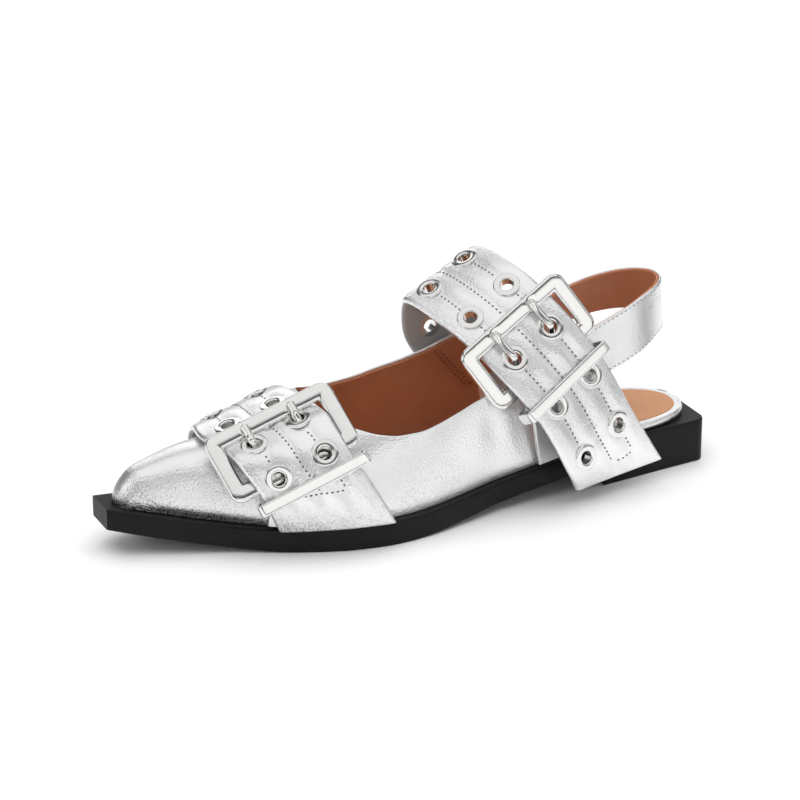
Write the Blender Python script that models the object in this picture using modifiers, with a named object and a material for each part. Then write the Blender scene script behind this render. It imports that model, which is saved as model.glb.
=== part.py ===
"""Left shoe of a pair of pointed slingback flats with two buckled straps.

The shoe is modelled as it is put together: a moulded unit sole with its low heel, a leather covered
insole board with a sock on it, a lasted upper, a heel sling, and two padded straps that cross the vamp
and the instep. Each strap runs under the front bar of a two prong buckle, over its heel bar and through
a metal keeper, and a buckle tab holds the heel bar down to the sole.

Lengths are in millimetres while a piece is worked out and become metres in its mesh. X runs from heel to
toe and is measured from the middle of the sole, Y runs to the outer side of the foot, and Z runs up.
"""

from collections import namedtuple

import bmesh
import bpy
import numpy as np
from mathutils import Matrix

MM = 0.001
GAP = 0.3

# Sole
HEEL_BACK = -134.0
TOE_TIP = 133.0
HEEL_BREAST = -79.0
BREAST_SLANT = 2.5
HEEL_SEAT_RISE = 10.0
HEEL_CORNER = 4.0
TOE_SPRING = 11.6
SPRING_START = 65.0
SPRING_POWER = 1.35
ARCH_START = 15.0
ARCH_POWER = 1.2
SOLE_EDGE = 0.8
SoleRow = namedtuple("SoleRow", "x lateral medial wall")
SOLE = [
    SoleRow(-134.0, 23.2, -15.0, 9.0),
    SoleRow(-105.0, 27.0, -20.5, 9.0),
    SoleRow(-79.0, 30.5, -23.0, 9.0),
    SoleRow(-55.0, 32.6, -23.5, 9.0),
    SoleRow(-31.5, 35.5, -25.5, 9.0),
    SoleRow(-10.5, 41.0, -29.5, 9.6),
    SoleRow(7.5, 45.4, -33.5, 10.2),
    SoleRow(23.5, 47.0, -36.0, 10.5),
    SoleRow(40.5, 45.0, -36.0, 10.5),
    SoleRow(52.0, 41.5, -34.0, 10.3),
    SoleRow(66.5, 35.5, -30.3, 9.8),
    SoleRow(83.5, 28.0, -25.0, 9.3),
    SoleRow(98.5, 22.0, -20.0, 9.1),
    SoleRow(112.5, 16.8, -15.3, 9.2),
    SoleRow(133.0, 8.3, -8.3, 9.0),
]

# Upper, drawn over the last
UPPER_TOE = 127.5
TOE_ROUND = 10.0
UPPER_WALL = 1.6
QUARTER_BACK = -52.0
QUARTER_TOP_BACK = -42.0
THROAT_FRONT = 44.0
LastRow = namedtuple("LastRow", "x crown ridge fullness ledge")
LAST = [
    LastRow(-100.0, 108.0, 4.0, 0.45, 3.0),
    LastRow(-60.0, 95.0, 4.0, 0.45, 3.0),
    LastRow(-20.0, 76.0, 3.5, 0.5, 3.5),
    LastRow(20.0, 60.0, 2.5, 0.75, 3.5),
    LastRow(44.0, 52.0, 1.5, 0.8, 3.5),
    LastRow(76.0, 42.8, 0.8, 0.8, 3.7),
    LastRow(86.0, 40.0, 0.6, 0.8, 3.8),
    LastRow(98.0, 38.6, 0.35, 0.8, 3.9),
    LastRow(114.0, 34.6, 0.0, 0.8, 4.0),
    LastRow(127.5, 29.6, 0.0, 0.8, 5.5),
]
ToplineRow = namedtuple("ToplineRow", "x lateral medial")
TOPLINE = [
    ToplineRow(-42.0, 53.0, 62.5),
    ToplineRow(-30.0, 51.8, 59.0),
    ToplineRow(-20.0, 49.8, 54.8),
    ToplineRow(-10.0, 47.0, 51.5),
    ToplineRow(0.0, 44.4, 49.2),
    ToplineRow(8.0, 43.0, 47.0),
    ToplineRow(16.0, 42.8, 45.6),
    ToplineRow(24.0, 43.8, 45.0),
    ToplineRow(32.0, 46.0, 46.0),
    ToplineRow(38.0, 48.3, 48.0),
    ToplineRow(44.0, 52.0, 52.0),
]

# Insole board and sock
INSOLE_BACK = -130.5
INSOLE_TOE = 124.5
INSOLE_THICKNESS = 1.9
SOCK_THICKNESS = 0.8
SOCK_INSET = 1.4
HEEL_ROUND_START = -102.0
HEEL_ROUND_POWER = 2.5
BLUNT_END = 0.05
InsetRow = namedtuple("InsetRow", "x inset")
INSOLE_INSET = [
    InsetRow(-133.0, 2.2),
    InsetRow(-75.0, 2.6),
    InsetRow(-50.0, 6.0),
    InsetRow(90.0, 6.0),
    InsetRow(124.5, 8.6),
]

# Heel sling
SLING_WIDTH = 19.0
SLING_LEAN = 0.36
SLING_THICKNESS = 2.4
SLING_BACK = -118.0
SLING_CENTRE = -90.0
SLING_MIDDLE = 3.0
SLING_HALF_WIDTH = 21.6
SLING_FRONT = -36.0
SLING_LAP = -55.0
SlingRow = namedtuple("SlingRow", "x lateral medial")
SLING = [
    SlingRow(-118.0, 72.3, 72.3),
    SlingRow(-108.0, 70.3, 70.0),
    SlingRow(-94.0, 65.0, 66.5),
    SlingRow(-84.0, 61.0, 63.5),
    SlingRow(-60.0, 52.0, 53.5),
    SlingRow(-36.0, 44.0, 44.5),
]

# Straps and their hardware
STRAP_THICKNESS = 3.2
STRAP_EDGE = 0.6
TAB_THICKNESS = 1.6
TAB_SLACK = 0.45
TAB_WIDTH = 38.0
TAB_EASING = (0.1, 0.3, 1.0)
EYELET_SPREAD = 21.0
EYELET_OUTER = 5.7
EYELET_HOLE = 3.4
EYELET_BARREL = 3.9
EYELET_RIM = 0.9
EYELET_SIDES = 10
STRAP_HOLE = 4.35
STRAP_HOLE_SIDES = 12
BUCKLE_WIDTH = 58.0
BUCKLE_LENGTH = 30.5
BUCKLE_BAR = 5.5
BUCKLE_THICKNESS = 2.2
BUCKLE_CORNER = 4.5
BUCKLE_BEVEL = 0.7
FRONT_BAR_SLACK = 1.9
PRONG_RADIUS = 1.15
# A prong's bend through its eyelet: steps along the strap from the eyelet, lifts off the middle face
BendRow = namedtuple("BendRow", "along lift")
PRONG_BEND = [
    BendRow(-5.0, -3.4),
    BendRow(-2.6, -2.9),
    BendRow(-1.3, -1.2),
    BendRow(-0.2, 1.2),
    BendRow(1.3, 3.6),
]
KEEPER_WIDTH = 49.0
KEEPER_BAR = 4.5
KEEPER_WALL = 1.3
KEEPER_CORNER = 2.0

# The vamp strap as bands of the last: angle around it, its two edges and how far each is lifted off
VampRow = namedtuple("VampRow", "x front back front_lift back_lift")
VAMP_STRAP = [
    VampRow(0.0, 69.5, 24.0, 5.2, 5.2),
    VampRow(25.0, 76.5, 35.5, 9.3, 7.0),
    VampRow(40.0, 81.0, 40.5, 10.0, 6.6),
    VampRow(61.0, 84.8, 43.5, 4.4, 6.0),
    VampRow(71.0, 87.0, 44.5, 2.3, 4.0),
    VampRow(88.0, 89.5, 46.5, 2.1, 2.1),
    VampRow(110.0, 88.0, 48.5, 3.0, 3.0),
    VampRow(140.0, 86.0, 47.0, 3.8, 3.8),
    VampRow(180.0, 80.0, 37.0, 2.2, 2.2),
]
VAMP_SQUARENESS = 0.5
# The instep strap as sections from the tail's end to the medial ledge: a point of each edge
InstepRow = namedtuple("InstepRow", "front_x front_y front_z back_x back_y back_z")
INSTEP_STRAP = [
    InstepRow(-61.0, 42.0, 6.6, -105.0, 36.5, 10.5),
    InstepRow(-53.7, 47.8, 18.7, -89.3, 37.2, 36.2),
    InstepRow(-41.6, 43.1, 42.6, -78.1, 32.9, 58.2),
    InstepRow(-28.7, 29.8, 60.0, -64.3, 23.8, 79.0),
    InstepRow(-19.1, 10.2, 71.7, -53.9, 4.8, 92.5),
    InstepRow(-11.2, -12.9, 78.2, -47.6, -19.1, 95.8),
    InstepRow(-10.5, -20.5, 74.0, -47.0, -25.5, 90.0),
    InstepRow(-14.5, -24.5, 57.0, -57.0, -27.0, 72.0),
    InstepRow(-30.0, -24.8, 36.0, -75.0, -26.0, 48.0),
    InstepRow(-52.0, -23.4, 16.8, -95.0, -22.2, 20.8),
]
INSTEP_SQUARENESS = 1.0
# Where the hardware sits, as lengths along a strap's middle from the tail's end
Fittings = namedtuple(
    "Fittings", "keeper keeper_slack front_bar heel_slack first_eyelet eyelet_pitch eyelet_pairs prong_pair"
)
VAMP_FITTINGS = Fittings(23.0, 2.1, 57.5, 2.0, 31.5, 18.2, 5, 1)
INSTEP_FITTINGS = Fittings(52.5, 0.7, 87.0, 0.9, 22.5, 25.5, 8, 2)
# Where the lower end of each buckle tab stands on the lateral ledge
TabFoot = namedtuple("TabFoot", "front back inset")
VAMP_TAB = TabFoot(73.0, 31.0, 2.2)
INSTEP_TAB = TabFoot(-51.0, -90.0, 1.2)

# Mesh fineness
SHARP_EDGE = 35.0
WELD = 0.01
SECTIONS_PER_ROW = 24
SOLE_STATIONS = 27
HEEL_CORNER_STATIONS = 5
HEEL_STATIONS = 6
HEEL_ROUND_STATIONS = 9
TOE_SHARE = 0.14
FEATHER_SPACING = 0.9
TOPLINE_SPACING = 1.8
RISE_SPACING = 1.6
SLING_TURN_STATIONS = 21
SLING_SIDE_STATIONS = 9
STRAP_COLUMNS = (0.0, 0.08, 0.5, 0.92, 1.0)
VAMP_STRAP_ROWS = 24
INSTEP_STRAP_ROWS = 34
PRONG_SECTIONS = 16
PRONG_ROUNDNESS = 2

COLOURS = {
    "black_rubber": ((0.012, 0.012, 0.013), 0.45, 0.0),
    "silver_leather": ((0.74, 0.74, 0.75), 0.3, 0.85),
    "tan_leather": ((0.58, 0.29, 0.13), 0.55, 0.0),
    "nickel": ((0.78, 0.77, 0.75), 0.18, 1.0),
}


def curve(rows, column, x):
    """A column of a table as a smooth function of x that never overshoots its rows."""
    x = np.asarray(x, float)
    knots = np.array([row.x for row in rows])
    values = np.array([getattr(row, column) for row in rows])
    step = np.diff(knots)
    slope = np.diff(values) / step
    tangent = np.zeros(len(knots))
    tangent[0] = slope[0]
    tangent[-1] = slope[-1]
    same_way = slope[:-1] * slope[1:] > 0
    mean = 2 * slope[:-1] * slope[1:] / np.where(same_way, slope[:-1] + slope[1:], 1.0)
    tangent[1:-1] = np.where(same_way, mean, 0.0)
    i = np.clip(np.searchsorted(knots, x) - 1, 0, len(step) - 1)
    t = (x - knots[i]) / step[i]
    inside = np.clip(t, 0.0, 1.0)
    low = (1 + 2 * inside) * (1 - inside) ** 2 * values[i] + inside * (1 - inside) ** 2 * step[i] * tangent[i]
    high = inside**2 * (3 - 2 * inside) * values[i + 1] + inside**2 * (inside - 1) * step[i] * tangent[i + 1]
    before = np.where(t < 0, t * step[i] * tangent[i], 0.0)
    after = np.where(t > 1, (t - 1) * step[i] * tangent[i + 1], 0.0)
    return low + high + before + after


def smooth_path(rows, count):
    """Points along a Catmull-Rom curve through the rows of an array, evenly spaced by length."""
    rows = np.asarray(rows, float)
    padded = np.concatenate([2 * rows[:1] - rows[1:2], rows, 2 * rows[-1:] - rows[-2:-1]])
    fine = []
    for i in range(len(rows) - 1):
        p0, p1, p2, p3 = padded[i : i + 4]
        t = np.linspace(0.0, 1.0, SECTIONS_PER_ROW, endpoint=False)[:, None]
        cubic = 2 * p1 + (p2 - p0) * t + (2 * p0 - 5 * p1 + 4 * p2 - p3) * t**2
        fine.append(0.5 * (cubic + (3 * p1 - p0 - 3 * p2 + p3) * t**3))
    fine = np.concatenate(fine + [rows[-1:]])
    length = np.concatenate([[0.0], np.cumsum(np.linalg.norm(np.diff(fine, axis=0), axis=1))])
    even = np.linspace(0.0, length[-1], count)
    return np.stack([np.interp(even, length, fine[:, k]) for k in range(fine.shape[1])], axis=1)


def sole_rise(x):
    """Height of the sole's underside above the floor, without the heel: toe spring and arch."""
    spring = np.clip((x - SPRING_START) / (TOE_TIP - SPRING_START), 0.0, None) ** SPRING_POWER
    arch = np.clip((ARCH_START - x) / (ARCH_START - HEEL_BREAST), 0.0, 1.0) ** ARCH_POWER
    return TOE_SPRING * spring + HEEL_SEAT_RISE * arch


def sole_top(x):
    """Height of the ledge that carries the upper and the insole."""
    return sole_rise(x) + curve(SOLE, "wall", x)


def sole_side(x, side):
    """Half outline of the sole with its rounded back corners."""
    sign = 1.0 if side == "lateral" else -1.0
    into = np.clip(HEEL_CORNER - (x - HEEL_BACK), 0.0, HEEL_CORNER)
    return curve(SOLE, side, x) - sign * (HEEL_CORNER - np.sqrt(HEEL_CORNER**2 - into**2))


def last_point(x, around, inset=0.0):
    """A point of the upper's outer face.

    Each section across the shoe is a pair of superellipse quarters that meet at the ridge. The angle
    around runs from 0 at the lateral feather line over 90 at the ridge to 180 at the medial one. An
    inset moves the face in by the wall, and a negative one moves it out under a strap.
    """
    x, around = np.broadcast_arrays(np.asarray(x, float), np.radians(around))
    ledge = curve(LAST, "ledge", x)
    ridge = curve(LAST, "ridge", x)
    lateral = curve(SOLE, "lateral", x) - ledge - inset
    medial = curve(SOLE, "medial", x) + ledge + inset
    base = sole_top(x) + GAP
    into_toe = np.clip((x - UPPER_TOE + TOE_ROUND) / TOE_ROUND, 0.0, 1.0)
    height = (curve(LAST, "crown", x) - inset - base) * np.sqrt(1 - into_toe**2)
    across = np.abs(np.cos(around)) ** curve(LAST, "fullness", x)
    y = ridge + np.where(np.cos(around) >= 0, (lateral - ridge) * across, (medial - ridge) * across)
    pulled = x - inset * np.clip((x - THROAT_FRONT) / (UPPER_TOE - THROAT_FRONT), 0.0, 1.0) ** 2
    return np.stack([pulled, y, base + height * np.sin(around)], axis=-1)


def topline_angle(x, side):
    """Angle around the section at which the upper's wall reaches its topline."""
    base = sole_top(x) + GAP
    share = (curve(TOPLINE, side, x) - base) / (curve(LAST, "crown", x) - base)
    angle = np.degrees(np.arcsin(np.clip(share, 0.0, 1.0)))
    return angle if side == "lateral" else 180.0 - angle


def last_side(x, z, side, inset):
    """Y of the upper's face at a height z, moved in by an inset."""
    sign = 1.0 if side == "lateral" else -1.0
    base = sole_top(x) + GAP
    share = np.clip((z - base) / (curve(LAST, "crown", x) - inset - base), 0.0, 1.0)
    across = (1 - share**2) ** (curve(LAST, "fullness", x) / 2)
    ridge = curve(LAST, "ridge", x)
    return ridge + (curve(SOLE, side, x) - sign * (curve(LAST, "ledge", x) + inset) - ridge) * across


def material(name):
    colour, roughness, metallic = COLOURS[name]
    made = bpy.data.materials.get(name)
    if made is None:
        made = bpy.data.materials.new(name)
        made.use_nodes = True
        shader = made.node_tree.nodes["Principled BSDF"]
        shader.inputs["Base Color"].default_value = (*colour, 1.0)
        shader.inputs["Roughness"].default_value = roughness
        shader.inputs["Metallic"].default_value = metallic
    return made


def add_object(name, mesh, finish, collection, smooth=True):
    if finish:
        mesh.materials.append(material(finish))
    if smooth:
        mesh.shade_smooth()
        mesh.set_sharp_from_angle(angle=np.radians(SHARP_EDGE))
    made = bpy.data.objects.new(name, mesh)
    collection.objects.link(made)
    return made


def grid_mesh(name, points, faces):
    """A closed mesh in metres from millimetre points, with its faces turned outwards."""
    mesh = bpy.data.meshes.new(name)
    mesh.from_pydata((points.reshape(-1, 3) * MM).tolist(), [], faces)
    work = bmesh.new()
    work.from_mesh(mesh)
    bmesh.ops.remove_doubles(work, verts=work.verts, dist=WELD * MM)
    bmesh.ops.recalc_face_normals(work, faces=work.faces)
    work.to_mesh(mesh)
    work.free()
    return mesh


def loop_faces(rings, points, closed):
    """Quads between rings of points; the first and last ring are joined, or closed by caps."""
    faces = []
    for i in range(rings if closed else rings - 1):
        for k in range(points):
            a = i * points + k
            b = i * points + (k + 1) % points
            step = points if i < rings - 1 else -i * points
            faces.append((a, b, b + step, a + step))
    if not closed:
        faces.append(tuple(range(points)))
        faces.append(tuple(range((rings - 1) * points, rings * points)))
    return faces


def wall_mesh(name, outer, inner):
    """A closed wall between two grids of points that share their rows and columns."""
    rings = np.concatenate([outer, inner[:, ::-1]], axis=1)
    return grid_mesh(name, rings, loop_faces(rings.shape[0], rings.shape[1], closed=False))


def surface_normals(grid):
    along = np.gradient(grid, axis=0)
    across = np.gradient(grid, axis=1)
    normal = np.cross(along, across)
    return normal / np.linalg.norm(normal, axis=-1, keepdims=True)


def sole_stations():
    """Sections in front of the heel, shared by the sole and the boards that lie on it."""
    return np.linspace(HEEL_BREAST, TOE_TIP, SOLE_STATIONS)


def make_outsole(parts):
    """Unit sole: sections across the shoe from the heel's back to the cut toe tip."""
    corner = HEEL_BACK + HEEL_CORNER * (1 - np.cos(np.linspace(0.0, np.pi / 2, HEEL_CORNER_STATIONS)))
    heel = np.linspace(corner[-1], HEEL_BREAST - BREAST_SLANT, HEEL_STATIONS)[1:]
    x = np.concatenate([corner, heel, sole_stations()])
    underside = np.where(x < HEEL_BREAST, 0.0, sole_rise(x))
    top = sole_top(x)
    lateral = sole_side(x, "lateral")
    medial = sole_side(x, "medial")
    section = [
        (lateral - SOLE_EDGE, underside),
        (lateral, underside + SOLE_EDGE),
        (lateral, top - SOLE_EDGE),
        (lateral - SOLE_EDGE, top),
        (medial + SOLE_EDGE, top),
        (medial, top - SOLE_EDGE),
        (medial, underside + SOLE_EDGE),
        (medial + SOLE_EDGE, underside),
    ]
    rings = np.stack([np.stack([x, y, z], axis=-1) for y, z in section], axis=1)
    mesh = grid_mesh("outsole", rings, loop_faces(*rings.shape[:2], closed=False))
    return add_object("outsole", mesh, "black_rubber", parts)


def insole_side(x, side, inset):
    """Half outline of the insole with its round heel end."""
    sign = 1.0 if side == "lateral" else -1.0
    y = sign * curve(SOLE, side, x) - curve(INSOLE_INSET, "inset", x) - inset
    middle = sign * SLING_MIDDLE
    into = np.clip((HEEL_ROUND_START - x) / (HEEL_ROUND_START - INSOLE_BACK - inset), 0.0, 1.0)
    return sign * (middle + (y - middle) * (1 - into**HEEL_ROUND_POWER) ** (1 / HEEL_ROUND_POWER))


def make_foot_bed(parts, name, finish, inset, low, thickness):
    """A board that follows the top of the sole: the insole itself or the sock on it."""
    back = INSOLE_BACK + inset + BLUNT_END
    toe = INSOLE_TOE - inset
    quarter_turn = np.linspace(0.0, np.pi / 2, HEEL_ROUND_STATIONS)
    round_end = back + (HEEL_ROUND_START - back) * (1 - np.cos(quarter_turn))
    stations = sole_stations()
    x = np.concatenate([round_end, stations[stations < toe], [toe]])
    lateral = insole_side(x, "lateral", inset)
    medial = insole_side(x, "medial", inset)
    base = sole_top(x) + low
    section = [(lateral, base), (lateral, base + thickness), (medial, base + thickness), (medial, base)]
    rings = np.stack([np.stack([x, y, z], axis=-1) for y, z in section], axis=1)
    mesh = grid_mesh(name, rings, loop_faces(*rings.shape[:2], closed=False))
    return add_object(name, mesh, finish, parts)


def upper_grid(inset, columns=57, rows=10):
    """The upper as a horseshoe: columns run from the feather line up to the topline, all round the toe."""
    turn = np.linspace(-1.0, 1.0, columns)
    side = np.abs(turn)
    along = np.clip((side - TOE_SHARE) / (1 - TOE_SHARE), 0.0, 1.0)
    feather_x = UPPER_TOE + (QUARTER_BACK - UPPER_TOE) * along**FEATHER_SPACING
    round_toe = 90.0 + 90.0 * turn / TOE_SHARE
    feather_angle = np.where(side < TOE_SHARE, round_toe, np.where(turn < 0, 0.0, 180.0))
    top_x = THROAT_FRONT + (QUARTER_TOP_BACK - THROAT_FRONT) * side**TOPLINE_SPACING
    top_angle = np.where(turn < 0, topline_angle(top_x, "lateral"), topline_angle(top_x, "medial"))
    rise = np.linspace(0.0, 1.0, rows) ** RISE_SPACING
    x = feather_x[:, None] + (top_x - feather_x)[:, None] * rise
    angle = feather_angle[:, None] + (top_angle - feather_angle)[:, None] * rise
    return last_point(x, angle, inset)


def make_upper(parts):
    mesh = wall_mesh("upper", upper_grid(0.0), upper_grid(UPPER_WALL))
    return add_object("upper", mesh, "silver_leather", parts)


def make_slingback(parts, columns=3):
    """Heel sling: a band round the back of the heel whose ends are lapped inside the quarters."""
    turn = np.linspace(-np.pi / 2, np.pi / 2, SLING_TURN_STATIONS)
    heel_x = SLING_CENTRE - (SLING_CENTRE - SLING_BACK) * np.cos(turn)
    side_x = np.linspace(SLING_CENTRE, SLING_FRONT, SLING_SIDE_STATIONS)[1:]
    x = np.concatenate([side_x[::-1], heel_x, side_x])
    round_y = SLING_HALF_WIDTH * np.concatenate([np.ones(len(side_x)), -np.sin(turn), -np.ones(len(side_x))])
    lateral = round_y > 0
    middle = np.where(lateral, curve(SLING, "lateral", x), curve(SLING, "medial", x))
    slope = np.gradient(middle) / np.hypot(np.gradient(x), np.gradient(round_y))
    across = np.linspace(-0.5, 0.5, columns) * SLING_WIDTH
    z = middle[:, None] + across * np.sqrt(1 + slope**2)[:, None]
    lap = UPPER_WALL + GAP + SLING_THICKNESS / 2
    wide_x = np.broadcast_to(x[:, None], z.shape)
    lapped = np.where(
        lateral[:, None], last_side(wide_x, z, "lateral", lap), last_side(wide_x, z, "medial", lap)
    )
    forward = np.clip((wide_x - SLING_CENTRE) / (SLING_LAP - SLING_CENTRE), 0.0, 1.0)
    ease = forward**2 * (3 - 2 * forward)
    leaning = round_y[:, None] * (1 - SLING_LEAN * across / SLING_HALF_WIDTH)
    y = (SLING_MIDDLE + leaning) * (1 - ease) + lapped * ease
    grid = np.stack([wide_x, y, z], axis=-1)
    half = surface_normals(grid) * SLING_THICKNESS / 2
    mesh = wall_mesh("slingback", grid + half, grid - half)
    return add_object("slingback", mesh, "silver_leather", parts)


def in_metres(matrix):
    matrix = matrix.copy()
    matrix.translation *= MM
    return matrix


class Strap:
    """A strap's middle face as a fine grid: rows run from the tail's end, columns from front to back edge.

    Its hardware lies between the direction of the rows, at a squareness of 0, and the direction square to
    the strap's run, at 1.
    """

    def __init__(self, name, grid, squareness):
        self.name = name
        self.squareness = squareness
        self.grid = grid
        self.normal = -surface_normals(grid)
        centre = grid[:, grid.shape[1] // 2]
        step = np.linalg.norm(np.diff(centre, axis=0), axis=1)
        self.length = np.concatenate([[0.0], np.cumsum(step)])

    def frame(self, along, across=0.0, lift=0.0):
        """A matrix at a point of the strap: X along it from the tail, Y to its front edge, Z outwards."""
        row = np.interp(along, self.length, np.arange(len(self.length)))
        low = int(min(max(row, 1), len(self.length) - 3))
        column = self.grid.shape[1] // 2
        part = row - low
        near = self.grid[low, [0, column, -1]] * (1 - part) + self.grid[low + 1, [0, column, -1]] * part
        forward = self.grid[low + 2, column] - self.grid[low - 1, column]
        forward /= np.linalg.norm(forward)
        side = near[0] - near[2]
        side -= self.squareness * forward * (side @ forward)
        side /= np.linalg.norm(side)
        origin = near[1] + side * across
        nearest = np.unravel_index(
            np.argmin(np.linalg.norm(self.grid - origin, axis=-1)), self.grid.shape[:2]
        )
        out = self.normal[nearest]
        origin += out * (lift - out @ (origin - self.grid[nearest]))
        side -= out * (side @ out)
        side /= np.linalg.norm(side)
        forward = np.cross(side, out)
        return Matrix(np.block([[np.stack([forward, side, out, origin], axis=1)], [0.0, 0.0, 0.0, 1.0]]))

    def point(self, along, across=0.0, lift=0.0):
        return np.array(self.frame(along, across, lift).translation)


def vamp_strap_grid(rows=120, columns=33):
    """The vamp strap's middle face, lifted off the last."""
    around = np.linspace(VAMP_STRAP[0].x, VAMP_STRAP[-1].x, rows)
    front = curve(VAMP_STRAP, "front", around)
    back = curve(VAMP_STRAP, "back", around)
    across = np.linspace(0.0, 1.0, columns)
    x = front[:, None] + (back - front)[:, None] * across
    front_lift = curve(VAMP_STRAP, "front_lift", around)
    back_lift = curve(VAMP_STRAP, "back_lift", around)
    lift = front_lift[:, None] + (back_lift - front_lift)[:, None] * across
    grid = last_point(x, around[:, None], -lift)
    even = smooth_path(grid.reshape(rows, -1), rows)
    return even.reshape(rows, columns, 3)


def instep_strap_grid(rows=180, columns=33):
    """The instep strap's middle face, ruled between its two edges."""
    edges = smooth_path(INSTEP_STRAP, rows)
    across = np.linspace(0.0, 1.0, columns)[:, None]
    return edges[:, None, :3] * (1 - across) + edges[:, None, 3:] * across


def eyelet_places(strap, fittings):
    """Name ending and matrix of every eyelet of a strap."""
    for n in range(fittings.eyelet_pairs):
        along = fittings.first_eyelet + n * fittings.eyelet_pitch
        for row, side in (("front", 0.5), ("back", -0.5)):
            yield f"{n + 1}_{row}", in_metres(strap.frame(along, side * EYELET_SPREAD))


def make_strap(strap, fittings, rows, parts, cutters):
    """A padded strap with thinner edges and a hole for every eyelet."""
    pick = np.round(np.linspace(0, len(strap.grid) - 1, rows)).astype(int)
    fine = np.linspace(0.0, 1.0, strap.grid.shape[1])
    picked = strap.grid[pick]
    coarse = np.stack([[np.interp(STRAP_COLUMNS, fine, row[:, k]) for k in range(3)] for row in picked])
    grid = coarse.transpose(0, 2, 1)
    half = surface_normals(grid) * STRAP_THICKNESS / 2
    half[:, [0, -1]] *= STRAP_EDGE
    made = add_object(strap.name, wall_mesh(strap.name, grid + half, grid - half), "silver_leather", parts)
    radius = STRAP_HOLE * MM
    depth = 4 * STRAP_THICKNESS * MM
    holes = bmesh.new()
    for _, place in eyelet_places(strap, fittings):
        bmesh.ops.create_cone(
            holes,
            cap_ends=True,
            segments=STRAP_HOLE_SIDES,
            radius1=radius,
            radius2=radius,
            depth=depth,
            matrix=place,
        )
    mesh = bpy.data.meshes.new(strap.name + "_holes")
    holes.to_mesh(mesh)
    holes.free()
    cutter = add_object(strap.name + "_holes", mesh, None, cutters, smooth=False)
    cutter.hide_render = True
    cutter.display_type = "WIRE"
    cut = made.modifiers.new("eyelet holes", "BOOLEAN")
    cut.operation = "DIFFERENCE"
    cut.solver = "EXACT"
    cut.object = cutter
    return made


def eyelet_mesh():
    """Half section of an eyelet: a rolled rim on the strap's face and a barrel down through its hole."""
    face = STRAP_THICKNESS / 2 + GAP
    middle = (EYELET_HOLE + EYELET_OUTER) / 2
    section = [
        (EYELET_BARREL, -STRAP_THICKNESS / 2),
        (EYELET_BARREL, face),
        (EYELET_OUTER, face),
        (middle, face + EYELET_RIM),
        (EYELET_HOLE, face + EYELET_RIM / 2),
        (EYELET_HOLE, -STRAP_THICKNESS / 2),
    ]
    mesh = bpy.data.meshes.new("eyelet")
    count = len(section)
    mesh.from_pydata(
        [(r * MM, 0.0, z * MM) for r, z in section], [(i, (i + 1) % count) for i in range(count)], []
    )
    return mesh


def make_eyelets(strap, fittings, parts):
    for ending, place in eyelet_places(strap, fittings):
        made = add_object(f"{strap.name}_eyelet_{ending}", eyelet_mesh(), "nickel", parts, smooth=False)
        made.matrix_world = place
        turn = made.modifiers.new("turned", "SCREW")
        turn.steps = EYELET_SIDES
        turn.render_steps = EYELET_SIDES
        turn.use_merge_vertices = True
        turn.merge_threshold = WELD * MM
        turn.use_normal_calculate = True
        turn.use_normal_flip = True


def rounded_rectangle(half_x, half_y, radius, per_corner=5):
    """Points of a rectangle with round corners, counted around from the first corner."""
    turn = np.linspace(0.0, np.pi / 2, per_corner)
    corners = []
    for quarter, (sx, sy) in enumerate(((1, 1), (-1, 1), (-1, -1), (1, -1))):
        angle = turn + quarter * np.pi / 2
        x = sx * (half_x - radius) + radius * np.cos(angle)
        y = sy * (half_y - radius) + radius * np.sin(angle)
        corners.append(np.stack([x, y], axis=1))
    return np.concatenate(corners)


def ring_mesh(name, half_x, half_y, corner, section):
    """A closed frame: a section of (inset, height) pairs carried round a rounded rectangle."""
    rings = []
    for inset, height in section:
        outline = rounded_rectangle(half_x - inset, half_y - inset, max(corner - inset, BUCKLE_BEVEL))
        rings.append(np.column_stack([outline, np.full(len(outline), height)]))
    rings = np.stack(rings)
    return grid_mesh(name, rings, loop_faces(*rings.shape[:2], closed=True))


def buckle_matrix(strap, fittings):
    """Place of a frame whose front bar lies on the strap and whose heel bar lies under it."""
    reach = STRAP_THICKNESS / 2 + GAP + BUCKLE_THICKNESS / 2
    heel_bar = fittings.front_bar - (BUCKLE_LENGTH - BUCKLE_BAR)
    front = strap.point(fittings.front_bar, lift=reach + FRONT_BAR_SLACK)
    heel = strap.point(heel_bar, lift=-reach - fittings.heel_slack)
    side = np.array(strap.frame((fittings.front_bar + heel_bar) / 2).col[1][:3])
    along = front - heel
    along -= side * (side @ along)
    along /= np.linalg.norm(along)
    axes = np.stack([along, side, np.cross(along, side), (front + heel) / 2], axis=1)
    return Matrix(np.block([[axes], [0.0, 0.0, 0.0, 1.0]]))


def make_buckle_frame(strap, fittings, parts):
    """Rectangular frame with bevelled edges on its upper face."""
    half = BUCKLE_THICKNESS / 2
    section = [
        (0.0, half - BUCKLE_BEVEL),
        (BUCKLE_BEVEL, half),
        (BUCKLE_BAR - BUCKLE_BEVEL, half),
        (BUCKLE_BAR, half - BUCKLE_BEVEL),
        (BUCKLE_BAR, -half),
        (0.0, -half),
    ]
    name = strap.name.replace("strap", "buckle_frame")
    mesh = ring_mesh(name, BUCKLE_LENGTH / 2, BUCKLE_WIDTH / 2, BUCKLE_CORNER, section)
    made = add_object(name, mesh, "nickel", parts)
    made.matrix_world = in_metres(buckle_matrix(strap, fittings))
    return made


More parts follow.
